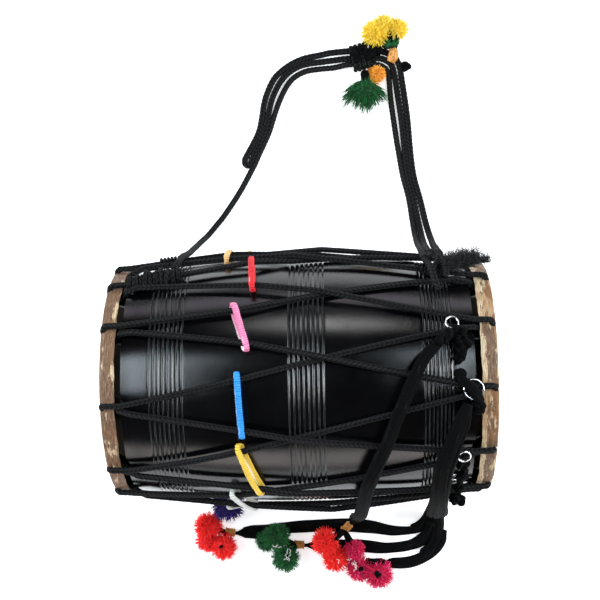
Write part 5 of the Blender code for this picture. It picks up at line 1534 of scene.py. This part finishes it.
def yarn_ends(middle, radius, count, seed, hollow=None, thick=0.00085, reach=(0.90, 1.28), root=0.45, curl=0.16,
              squash=1.0, floor=0.0006):
    """Thin tubes from a middle outwards: a middle plus direction times distance, bent with its square."""
    rng = np.random.default_rng(seed)
    number = np.arange(count) + 0.5
    height = 1 - 2 * number / count
    angle = number * GOLDEN_ANGLE
    flat_part = np.sqrt(1 - height ** 2)
    ways = np.stack([flat_part * np.cos(angle), flat_part * np.sin(angle), height], axis=-1)
    tufts = unit(rng.normal(size=(count // 5, 3)))
    nearest = tufts[np.argmax(ways @ tufts.T, axis=1)]
    ways = unit(ways + 0.35 * nearest + rng.normal(0, 0.10, (count, 3)))
    if hollow is not None:
        ways = ways[ways @ unit(np.array(hollow)) < 0.93]
    count = len(ways)
    far = radius * rng.uniform(*reach, count)
    bend = np.cross(ways, rng.normal(size=(count, 3))) * radius * curl
    along = np.linspace(0, 1, YARN_ROWS)[None, :, None]
    start = radius * root
    line = middle + ways[:, None] * (start + (far[:, None, None] - start) * along) + bend[:, None] * along ** 2
    line[..., 2] = middle[2] + (line[..., 2] - middle[2]) * squash
    line[..., 2] = np.maximum(line[..., 2], floor + rng.uniform(0, 0.0015, (count, 1)))
    side = unit(np.cross(ways, rng.normal(size=(count, 3))))
    rise = np.cross(ways, side)
    width = thick * rng.uniform(0.75, 1.25, (count, 1, 1, 1)) * np.array([1.0, 1.0, 0.9, 0.75, 0.35])[None, :, None, None]
    turn = 2 * np.pi * np.arange(3) / 3
    ring = np.cos(turn)[:, None] * side[:, None] + np.sin(turn)[:, None] * rise[:, None]
    points = line[:, :, None] + ring[:, None] * width
    return yarn_form(points, rng.uniform(0, 1, count))


def yarn_form(points, shade):
    """Faces of many thin tubes at once; the pattern's across is the tube's own shade, along is 0 to 1."""
    count, rows, sides = points.shape[:3]
    place = np.arange(count * rows * sides).reshape(count, rows, sides)
    quads = np.stack([place[:, :-1], np.roll(place, -1, 2)[:, :-1], np.roll(place, -1, 2)[:, 1:], place[:, 1:]], axis=-1)
    along = np.linspace(0, 1, rows)
    low = np.broadcast_to(along[None, :-1, None], quads.shape[:3])
    high = np.broadcast_to(along[None, 1:, None], quads.shape[:3])
    v = np.stack([low, low, high, high], axis=-1)
    u = np.broadcast_to(shade[:, None, None, None], v.shape)
    fans = np.concatenate([place[:, 0, ::-1], place[:, -1]])
    fan_uv = np.zeros((2 * count, 3, 2))
    fan_uv[:, :, 0] = np.tile(shade, 2)[:, None]
    fan_uv[count:, :, 1] = 1.0
    return Form(points.reshape(-1, 3), quads.reshape(-1, 4), np.stack([u, v], axis=-1).reshape(-1, 4, 2), fans, fan_uv)


def yarn_finish(label, dark, middle, bright, root=0.35):
    made = Finish("yarn_" + label, roughness=0.75)
    shade, along = made.pattern()
    fuzz = made.noise(made.place(), 900, 2.0, 0.6)
    base = made.ramp(shade, [(0.0, dark), (0.45, middle), (0.85, middle), (1.0, bright)])
    shadow = tuple(value * root for value in dark)
    made.set("Base Color", made.mix(made.between(along + fuzz * 0.3 - 0.15, 0.65, 0.05), base, shadow))
    made.set("Roughness", 0.65 + fuzz * 0.25)
    made.bump(fuzz, 0.0003, 0.5)
    return made


YARNS = {"red": yarn_finish("red", (0.80, 0.006, 0.006), (1.0, 0.016, 0.014), (1.0, 0.08, 0.06), 0.65),
         "scarlet": yarn_finish("scarlet", (0.85, 0.010, 0.008), (1.0, 0.022, 0.016), (1.0, 0.10, 0.06), 0.7),
         "green": yarn_finish("green", (0.0006, 0.024, 0.005), (0.001, 0.105, 0.016), (0.006, 0.24, 0.05)),
         "magenta": yarn_finish("magenta", (0.42, 0.001, 0.035), (0.76, 0.003, 0.085), (1.0, 0.10, 0.38)),
         "yellow": yarn_finish("yellow", (0.85, 0.46, 0.016), (1.0, 0.78, 0.06), (1.0, 0.95, 0.26), 0.75),
         "orange": yarn_finish("orange", (0.70, 0.22, 0.012), (1.0, 0.44, 0.04), (1.0, 0.68, 0.14), 0.6),
         "blue": yarn_finish("blue", (0.006, 0.001, 0.050), (0.018, 0.002, 0.150), (0.05, 0.008, 0.40))}
print(len(YARNS), "yarns")

# %% Pompoms
CORE_SHARE = 0.74
# ends of yarn, the way its black middle faces, and how flat the ball lies
POMPOMS = {"red_1": (640, None, 0.92), "red_2": (600, (-0.15, 0.15, 1.0), 0.92), "red_3": (320, None, 0.95),
           "green_1": (560, None, 0.95), "green_2": (380, None, 0.95), "green_3": (560, (0.25, 0.4, 1.0), 0.95),
           "scarlet_1": (640, None, 0.92), "scarlet_2": (560, None, 0.95), "magenta_1": (560, (-0.1, 0.1, 1.0), 0.9),
           "magenta_2": (520, (0.2, 0.1, 1.0), 0.92), "magenta_3": (420, None, 0.95), "blue": (520, None, 1.0),
           "yellow_1": (620, None, 0.95), "yellow_2": (420, None, 0.95), "yellow_3": (380, None, 0.95),
           "orange": (300, None, 1.0), "green_top": (420, None, 0.9)}


def core_form(middle, radius, seed, squash):
    """The tied inside of a pompom: a ball with a bumpy surface, from waves along and round it."""
    turn = 2 * np.pi * np.arange(40)[None, :] / 40
    tilt = np.pi * (np.arange(25)[:, None] + 0.5) / 25
    bumps = 1 + 0.05 * np.sin(9 * turn + seed) * np.sin(7 * tilt) + 0.05 * np.sin(14 * turn + 3 * tilt + seed)
    size = radius * bumps
    points = np.stack([np.broadcast_to(size * np.sin(tilt) * np.cos(turn), bumps.shape),
                       np.broadcast_to(size * np.sin(tilt) * np.sin(turn), bumps.shape),
                       np.broadcast_to(-size * np.cos(tilt) * squash, bumps.shape)], axis=-1)
    points = middle + points
    points[..., 2] = np.maximum(points[..., 2], 0.0005)
    made = grid(points, capped=True, along=np.zeros(25))
    made.quad_uv[..., 0] = 0.4
    made.quad_uv[..., 1] = 0.35
    made.fan_uv[..., 1] = 0.35
    return made


# how much wider than the CAD's ball the yarn spreads in the photograph, and the shift that closes it up
SPREAD = {"red_1": (1.26, -0.001, 0.001), "red_2": (1.26, 0, -0.001), "red_3": (1.60, 0.006, 0.001),
          "green_1": (1.38, 0.001, -0.006), "green_2": (1.35, 0, 0), "green_3": (1.34, 0, 0),
          "scarlet_1": (1.25, 0, 0), "scarlet_2": (1.36, 0, 0), "magenta_1": (1.42, 0, 0),
          "magenta_2": (1.38, -0.002, -0.001), "magenta_3": (1.45, -0.002, 0), "blue": (1.30, -0.001, 0.001),
          "yellow_1": (1.36, 0.003, 0), "yellow_2": (1.50, -0.005, 0), "yellow_3": (1.55, -0.006, 0),
          "orange": (1.15, 0, 0), "green_top": (1.0, 0, 0)}
balls = {}
for number, (label, (count, hollow, squash)) in enumerate(POMPOMS.items()):
    middle, half = box_of("pompom_" + label)
    wider, to_right, to_back = SPREAD[label]
    radius = float(half[0]) * wider
    middle[:2] = middle[:2] + [to_right, to_back]
    if label == "green_top":
        radius = 0.0205
        middle[1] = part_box("pompom_green_top")[0][1] + radius
    if label == "yellow_1":
        middle[1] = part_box("pompom_yellow_1")[1][1] - float(half[0])
    middle[2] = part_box("pompom_" + label)[0][2] + radius
    balls[label] = (middle, radius)
    yarn = YARNS[label.split("_")[0]]
    form = core_form(middle, radius * CORE_SHARE, number, squash)
    form = form + yarn_ends(middle, radius, int(count * 1.3), 100 + number, hollow, squash=squash)
    made = piece("pompom_" + label + "_yarn", form, yarn, "yarn_" + label.split("_")[0], ["pompom_" + label])
print(len(balls), "pompoms, the last of", triangles_of(made), "triangles")

# %% [markdown]
# ## Black stems
#
# Between a binding and its pompoms the black yarn of the ties shows as short soft stems that widen
# towards the pompom. A pompom that is seen from its tied side has a black hole at its middle.

# %% Stems
def stem(start, end, narrow, wide, seed, lift=0.004):
    """A cloth tube from a binding to a pompom that widens on its way and arches a little."""
    start, end = np.array(start, float), np.array(end, float)
    path = through([start, (start + end) / 2 + UP * lift, end], 0.0012)
    share = lengths(path) / lengths(path)[-1]
    return cloth_tube(path, 1.0, 0.8, narrow + (wide - narrow) * share ** 0.7, seed, UP)


def ball_of(label):
    return balls[label][0]


def tip_of(path):
    """Where a cord's binding ends: 12 mm before its tip."""
    return path[-1] + unit(path[-8] - path[-1]) * 0.012


def hole(label, way, size, seed):
    """The black tied middle of a pompom: a small knot on the side that it faces."""
    middle, radius = balls[label]
    return knot_form(middle + unit(np.array(way, float)) * radius * 0.72, (size, size, size * 0.8), size * 0.42, seed)


STEMS = {"tassel_cord_one": [("scarlet_1", 0.0040, 0.0078, 0.004), ("magenta_3", 0.0038, 0.0062, 0.003)],
         "tassel_cord_two": [("red_1", 0.0035, 0.0052, 0.002), ("red_2", 0.0035, 0.0060, 0.004)],
         "tassel_cord_three": [("green_1", 0.0036, 0.0060, 0.003), ("green_3", 0.0036, 0.0062, 0.003)]}
CORD_PATHS = {"tassel_cord_one": first, "tassel_cord_two": second, "tassel_cord_three": third,
              "tassel_cord_four": fourth}
stem_pieces = {}
for number, (cord, ends) in enumerate(STEMS.items()):
    form = None
    for extra, (label, narrow, wide, lift) in enumerate(ends):
        middle, radius = balls[label]
        start = tip_of(CORD_PATHS[cord])
        end = middle + unit(start - middle) * radius * 0.55 + UP * radius * 0.25
        made = stem(start, end, narrow, wide, 81 + 4 * number + extra, lift)
        form = made if form is None else form + made
    stem_pieces[cord] = form
fourth_tip = fourth[-1]
stem_pieces["tassel_cord_four"] = (
    stem(fourth_tip + [0.002, 0, 0], ball_of("magenta_1") + [0.004, 0.020, 0.004], 0.0030, 0.0062, 95, 0.003)
    + stem(ball_of("magenta_1") + [0.006, 0.021, 0.004], ball_of("magenta_1") + [-0.020, 0.022, 0.002], 0.0056, 0.0046, 96)
    + hole("magenta_1", (-0.1, 0.1, 1.0), 0.0062, 97) + hole("magenta_2", (0.2, 0.1, 1.0), 0.0046, 98))
stem_pieces["tassel_cord_two"] = stem_pieces["tassel_cord_two"] + hole("red_2", (-0.15, 0.15, 1.0), 0.0036, 99)
stem_pieces["tassel_cord_three"] = stem_pieces["tassel_cord_three"] + hole("green_3", (0.25, 0.4, 1.0), 0.0040, 92)
for cord, form in stem_pieces.items():
    stem_pieces[cord] = piece(cord + "_stems", form, soft_cotton, "black_cotton")
print("stems for", list(stem_pieces))

# %% White threads
def loose_thread(points, radius=0.00045, seed=0):
    """A thin curled thread through a few points."""
    path = through(points, 0.0010)
    along = lengths(path)[:, None]
    rng = np.random.default_rng(seed)
    path = path + 0.0010 * np.sin(along * 900 + rng.uniform(0, 6, 3)) * np.array([1.0, 1.0, 0.5])
    return sweep(path, circle(radius, 5))


def threads_on(label, places, seed):
    """Short curls that stand on a pompom, each from one angle round it to another."""
    middle, radius = balls[label]
    rng = np.random.default_rng(seed)
    form = None
    for x, y, dx, dy in places:
        ends = np.array([[x, y], [x + dx / 2 + 0.0015, y + dy / 2], [x + dx, y + dy]])
        away = (ends - middle[:2]) / (radius * 1.25)
        height = middle[2] + radius * 1.12 * np.sqrt(np.maximum(1 - (away ** 2).sum(1), 0.05))
        curl = loose_thread(np.column_stack([ends, height + rng.uniform(0, 0.0015, 3)]), 0.0005, int(rng.integers(99)))
        form = curl if form is None else form + curl
    return form


def cotton_finish(name, colour):
    made = Finish(name, roughness=0.8)
    fibres = made.noise(made.place(), 1400, 2.0, 0.6)
    made.set("Base Color", made.mix(fibres, tuple(0.6 * value for value in colour), colour))
    made.bump(fibres, 0.0002, 0.5)
    return made


white_cotton = cotton_finish("white_cotton", (0.85, 0.84, 0.80))
white_threads = {
    "green_1": threads_on("green_1", [(-0.0590, -0.2815, 0.008, -0.003), (-0.0555, -0.2835, 0.006, 0.003),
                                      (-0.0500, -0.2845, 0.006, -0.001)], 1),
    "green_3": threads_on("green_3", [(-0.0345, -0.2900, -0.003, -0.009), (-0.0300, -0.2905, -0.002, -0.011),
                                      (-0.0375, -0.3010, 0.006, -0.007), (-0.0400, -0.3060, 0.008, 0.001)], 2),
    "magenta_2": threads_on("magenta_2", [(0.0770, -0.3140, 0.004, -0.011), (0.0800, -0.3110, 0.001, -0.012),
                                          (0.0730, -0.3160, 0.008, -0.002), (0.0830, -0.3190, -0.005, -0.008)], 3),
    "scarlet_2": threads_on("scarlet_2", [(0.0500, -0.3060, 0.002, -0.009)], 4)}
for label, form in white_threads.items():
    white_threads[label] = piece("white_threads_" + label, form, white_cotton, "ring_thread_white")
print("white threads on", list(white_threads))

# %% [markdown]
# ## The strap's corner
#
# At the strap's top corner the pompoms hang from dark stems that a gold net binds, two small brushes
# point away from them along the strap, and a short dark nub of rope stands by the knot.

# %% Corner stems
def brush(start, way, length, narrow, wide, count, seed, thick=0.0008, shortest=0.70):
    """A brush of yarn ends: they leave one spot close together and fan out along a way."""
    rng = np.random.default_rng(seed)
    start, way = np.array(start, float), unit(np.array(way, float))
    side = unit(np.cross(way, UP))
    spot = rng.normal(size=(count, 2))
    spot = spot / np.maximum(np.linalg.norm(spot, axis=1, keepdims=True), 1.0)
    along = np.linspace(0, 1, YARN_ROWS)[None, :, None]
    reach = length * rng.uniform(shortest, 1.08, count)[:, None, None]
    bend = rng.normal(0, 0.10 * length, (count, 1, 3)) * along ** 2
    fan = narrow + (wide - narrow) * along ** 0.8
    line = start + way * reach * along + side * spot[:, None, :1] * fan + UP * spot[:, None, 1:] * fan * 0.55 + bend
    line[..., 2] = np.maximum(line[..., 2], 0.0008)
    ring_side = unit(np.cross(way, rng.normal(size=(count, 3))))
    ring_rise = np.cross(way, ring_side)
    turn = 2 * np.pi * np.arange(3) / 3
    ring = np.cos(turn)[:, None] * ring_side[:, None] + np.sin(turn)[:, None] * ring_rise[:, None]
    width = thick * np.array([1.0, 1.0, 0.9, 0.8, 0.4])[None, :, None, None]
    return yarn_form(line[:, :, None] + ring[:, None] * width, rng.uniform(0, 1, count))


green_top = ball_of("green_top")
corner_black = (loose_end([(0.1140, 0.5400, 0.012), (0.1150, 0.5290, 0.020), (0.1150, 0.5170, 0.020)], 0.0075, 111)
                + knot_form(np.array([0.1170, 0.5170, 0.022]), (0.0085, 0.0070, 0.006), 0.0030, 112)
                + loose_end([(0.1250, 0.5790, 0.020), (0.1320, 0.5870, 0.016), (0.1340, 0.5960, 0.014)], 0.0060, 113)
                + loose_end([(0.1400, 0.5700, 0.016), (0.1360, 0.5840, 0.020), (0.1230, 0.5900, 0.014)], 0.0052, 114)
                + knot_form(np.array([0.1365, 0.5760, 0.017]), (0.0110, 0.0100, 0.010), 0.0044, 115)
                + knot_form(np.array([0.1060, 0.5770, 0.018]), (0.0160, 0.0090, 0.009), 0.0046, 117)
                + knot_form(np.array([0.1245, 0.5690, 0.020]), (0.0130, 0.0130, 0.009), 0.0050, 118)
                + knot_form(np.array([0.0990, 0.5640, 0.021]), (0.0100, 0.0120, 0.007), 0.0044, 119)
                + loose_end([(0.1160, 0.5830, 0.018), (0.1175, 0.5905, 0.013), (0.1150, 0.5950, 0.010)], 0.0042, 116))
corner_ties = piece("strap_corner_ties", corner_black, soft_cotton, "black_cotton")
STEM_STARTS = ((0.1585, 0.5790, 0.014), (0.1640, 0.5800, 0.015), (0.1690, 0.5795, 0.013), (0.1545, 0.5800, 0.011))
STEM_ENDS = (ball_of("yellow_2") + [-0.006, -0.006, 0.0], ball_of("yellow_2") + [0.005, -0.006, 0.002],
             ball_of("yellow_3") + [0.0, -0.006, 0.0], ball_of("yellow_2") + [-0.012, -0.004, -0.002])
corner_form = None
for number, (start, end) in enumerate(zip(STEM_STARTS, STEM_ENDS)):
    made = stem(start, end, 0.0040, 0.0052, 121 + number, 0.003)
    corner_form = made if corner_form is None else corner_form + made
corner_form = corner_form + loose_end([(0.1680, 0.5990, 0.016), (0.1710, 0.6050, 0.017), (0.1670, 0.6080, 0.015),
                                       (0.1640, 0.6030, 0.016)], 0.0022, 131)
dark_stems = piece("strap_corner_stems", corner_form, soft_cotton, "black_cotton")
net_line = through([(0.1600, 0.5560, 0.0110), (0.1645, 0.5640, 0.0125), (0.1660, 0.5720, 0.0140),
                    (0.1650, 0.5800, 0.0140)], 0.0006)
share = lengths(net_line) / lengths(net_line)[-1]
net = cloth_tube(net_line, 1.0, 0.85, 0.0048 + 0.0040 * np.sin(np.pi * (0.15 + 0.75 * share)), 141, UP)
net_binding = piece("strap_corner_net", net, gold, "gold_thread")
orange_start = np.array([0.1205, 0.5430, 0.012])
orange_brush = brush(orange_start, (0.55, -0.62, 0.03), 0.028, 0.0060, 0.0150, 380, 151, 0.0009)
orange_piece = piece("strap_corner_orange", orange_brush, YARNS["orange"], "yarn_orange")
green_start = np.array([0.1150, 0.5200, 0.016])
green_brush = (brush(green_start, (-0.42, -1.0, -0.05), 0.045, 0.0060, 0.0260, 420, 152, 0.00095, 0.50)
               + brush(green_start, (0.42, -1.0, -0.05), 0.043, 0.0060, 0.0230, 340, 153, 0.00095, 0.50)
               + brush(np.array([0.1500, 0.5790, 0.0180]), (0.5, 0.8, 0.3), 0.016, 0.0040, 0.0080, 90, 154)
               + brush(np.array([0.1620, 0.5790, 0.0180]), (0.6, 0.7, 0.2), 0.017, 0.0030, 0.0060, 70, 155))
green_piece = piece("strap_corner_green", green_brush, YARNS["green"], "yarn_green")
print("corner:", [triangles_of(made) for made in (corner_ties, dark_stems, net_binding, orange_piece, green_piece)])

# %% [markdown]
# ## The frayed tail
#
# One end of the strap's rope comes out of the right lashing and is combed out over the hoop. Its
# strands part into a dark fluffy tuft, with a few long threads that lie loose on each side.

# %% Frayed tail
tail_up = outward(tail)
tail_size = tapered(tail, [(0.0, 0.8), (0.01, 1.0)], [(0.0, 0.35), (0.04, 0.75), (0.06, 1.0)])
tail_form = cloth_tube(tail, STRAP_RADIUS * 1.1, STRAP_RADIUS * 0.95, tail_size, 161, tail_up)
tail_piece = piece("frayed_tail_core", tail_form, soft_cotton, "black_cotton", ["strap_frayed_tail"])


def combed(path, count, seed, start_share, spread, length, thick):
    """Threads that leave a rope along its way: each follows it for a while, then drifts off sideways."""
    rng = np.random.default_rng(seed)
    rows = 8
    begin = rng.uniform(*start_share, count)
    reach = rng.uniform(*length, count)
    along = lengths(path)
    share = np.linspace(0, 1, rows)[None, :]
    places = np.minimum(begin[:, None] * along[-1] + reach[:, None] * share, along[-1] * 1.15)
    line = np.stack([np.interp(places, along, path[:, k]) for k in range(3)], axis=-1)
    past = np.maximum(places - along[-1], 0.0)[..., None]
    line = line + unit(path[-1] - path[-4]) * past
    side, rise = frames(path, up=UP)
    middle_side, middle_rise = side[len(side) // 2], rise[len(rise) // 2]
    drift = rng.normal(size=(count, 2)) * spread
    wave = 0.0016 * np.sin(share[..., None] * rng.uniform(4, 9, (count, 1, 3)) + rng.uniform(0, 6, (count, 1, 3)))
    away = share[..., None] ** 1.3
    line = line + middle_side * drift[:, None, :1] * away + middle_rise * np.abs(drift[:, None, 1:]) * away * 0.8
    line = line + wave * share[..., None]
    ring_side = unit(rng.normal(size=(count, 3)))
    ring_rise = unit(np.cross(unit(path[-1] - path[0]), ring_side))
    ring_side = np.cross(unit(path[-1] - path[0]), ring_rise)
    turn = 2 * np.pi * np.arange(3) / 3
    ring = np.cos(turn)[:, None] * ring_side[:, None] + np.sin(turn)[:, None] * ring_rise[:, None]
    width = thick * np.linspace(1.0, 0.35, rows)[None, :, None, None]
    return yarn_form(line[:, :, None] + ring[:, None] * width, rng.uniform(0, 1, count))


def burst(path, count, seed, shares, reach, thick):
    """Threads of a frayed rope that stand out from it: away from the drum and to either side, curled."""
    rng = np.random.default_rng(seed)
    rows = 6
    begin = rng.uniform(*shares, count)
    along = lengths(path)
    base = np.stack([np.interp(begin * along[-1], along, path[:, k]) for k in range(3)], axis=-1)
    out = unit((base - [0.0, 0.0, AXIS_HEIGHT]) * [0.0, 1.0, 1.0])
    lean = np.array([1.5, 0.0, 0.0]) * (begin[:, None] - 0.62)
    way = unit(out + lean + rng.normal(size=(count, 3)) * [0.55, 0.40, 0.40])
    share = np.linspace(0, 1, rows)[None, :, None]
    curl = 0.0045 * np.sin(share * rng.uniform(2, 7, (count, 1, 3)) + rng.uniform(0, 6, (count, 1, 3)))
    line = base[:, None] + way[:, None] * rng.uniform(*reach, count)[:, None, None] * share + curl * share
    ring_side = unit(np.cross(way, rng.normal(size=(count, 3))))
    ring_rise = np.cross(way, ring_side)
    turn = 2 * np.pi * np.arange(3) / 3
    ring = np.cos(turn)[:, None] * ring_side[:, None] + np.sin(turn)[:, None] * ring_rise[:, None]
    width = thick * np.linspace(1.0, 0.45, rows)[None, :, None, None]
    return yarn_form(line[:, :, None] + ring[:, None] * width, rng.uniform(0, 1, count))


black_fibre = yarn_finish("black", (0.004, 0.004, 0.005), (0.012, 0.012, 0.013), (0.05, 0.05, 0.052), 0.6)
tuft = combed(tail, 240, 171, (0.0, 0.5), 0.0050, (0.020, 0.040), 0.00050)
tuft = tuft + burst(tail, 1200, 172, (0.30, 0.72), (0.006, 0.028), 0.00065)
tuft = tuft + burst(tail, 420, 174, (0.60, 0.97), (0.004, 0.013), 0.00055)
tuft = tuft + burst(tail, 70, 173, (0.30, 0.55), (0.024, 0.036), 0.00035)
tuft_piece = piece("frayed_tail_threads", tuft, black_fibre, "black_cotton")
print("tail", triangles_of(tail_piece), "and its threads", triangles_of(tuft_piece), "triangles")

# %% [markdown]
# ## The cords' facts
#
# For each free cord, the pieces on its end are gathered in a list: its pompoms, its gold binding, its
# stems and the white threads that lie on its pompoms.


def of_pompoms(*labels):
    return [bpy.data.objects["pompom_" + label + "_yarn"] for label in labels]


ENDS = {"tassel_cord_one": ["scarlet_1", "scarlet_2", "magenta_3"], "tassel_cord_two": ["red_1", "red_2", "red_3"],
        "tassel_cord_three": ["green_1", "green_2", "green_3"], "tassel_cord_four": ["magenta_1", "magenta_2"],
        "tassel_cord_five": ["blue"]}
BINDINGS_ON = {"tassel_cord_one": "one", "tassel_cord_two": "two", "tassel_cord_three": "three"}
for name, (made, path, wide) in tassel_cords.items():
    extra = of_pompoms(*ENDS[name])
    if name in BINDINGS_ON:
        extra.append(bpy.data.objects["gold_binding_" + BINDINGS_ON[name] + "_wound"])
    if name in stem_pieces:
        extra.append(stem_pieces[name])
    extra += [white_threads[label] for label in ENDS[name] if label in white_threads]
print("declared", len(tassel_cords) + 2, "tassel cords and ends")

# %% [markdown]
# ## Floor and light
#
# The drum lies on white paper under soft studio lights. A long light hangs behind the drum and lies
# as a pale band along the top of the lacquer; a wide low one in front of it fills the shell's lower
# side with grey; and the paper itself, lit from all round, shows as a bright line at both edges.

# %% Floor
floor_mesh = bpy.data.meshes.new("paper_floor")
floor_mesh.from_pydata([(-6, -6, 0), (6, -6, 0), (6, 6, 0), (-6, 6, 0)], [], [(0, 1, 2, 3)])
floor = bpy.data.objects.new("paper_floor", floor_mesh)
bpy.context.scene.collection.objects.link(floor)
paper = Finish("white_paper", roughness=0.9)
paper.set("Base Color", (0.93, 0.93, 0.93))
paper.set("Emission Color", (1.0, 1.0, 1.0))
paper.set("Emission Strength", 0.60)
floor_mesh.materials.append(paper.material)
print("floor at z = 0")

# %% Lights
def area_light(name, place, aim, wide, high, watts, tint=(1.0, 1.0, 1.0)):
    """A rectangular light at a place, turned to face a point."""
    data = bpy.data.lights.new(name, "AREA")
    data.shape = "RECTANGLE"
    data.size = wide
    data.size_y = high
    data.energy = watts
    data.color = tint
    made = bpy.data.objects.new(name, data)
    bpy.context.scene.collection.objects.link(made)
    made.location = place
    made.rotation_euler = (Vector(aim) - Vector(place)).to_track_quat("-Z", "Y").to_euler()
    return made


AIM = (0.0, 0.0, 0.15)
area_light("band_light", (0.12, 2.1, 2.05), AIM, 0.9, 0.5, 9)
area_light("front_light", (0.0, -2.8, 0.85), AIM, 3.0, 0.9, 22, (1.0, 0.93, 0.91))
area_light("back_light", (0.0, 2.8, 0.9), AIM, 3.0, 0.7, 12, (0.95, 0.90, 1.0))
area_light("left_light", (-1.75, 0.35, 2.4), AIM, 1.6, 1.6, 58, (0.80, 0.92, 1.0))
area_light("right_light", (1.75, 0.50, 2.4), AIM, 1.6, 1.6, 62, (0.80, 0.92, 1.0))
area_light("low_left_light", (-3.0, 0.0, 1.25), AIM, 1.4, 1.0, 75)
area_light("low_right_light", (3.0, 0.0, 1.25), AIM, 1.4, 1.0, 75)
world = bpy.data.worlds.new("studio")
world.use_nodes = True
world.node_tree.nodes["Background"].inputs["Color"].default_value = (0.05, 0.05, 0.052, 1.0)
bpy.context.scene.world = world
bpy.context.scene.view_settings.view_transform = "Standard"
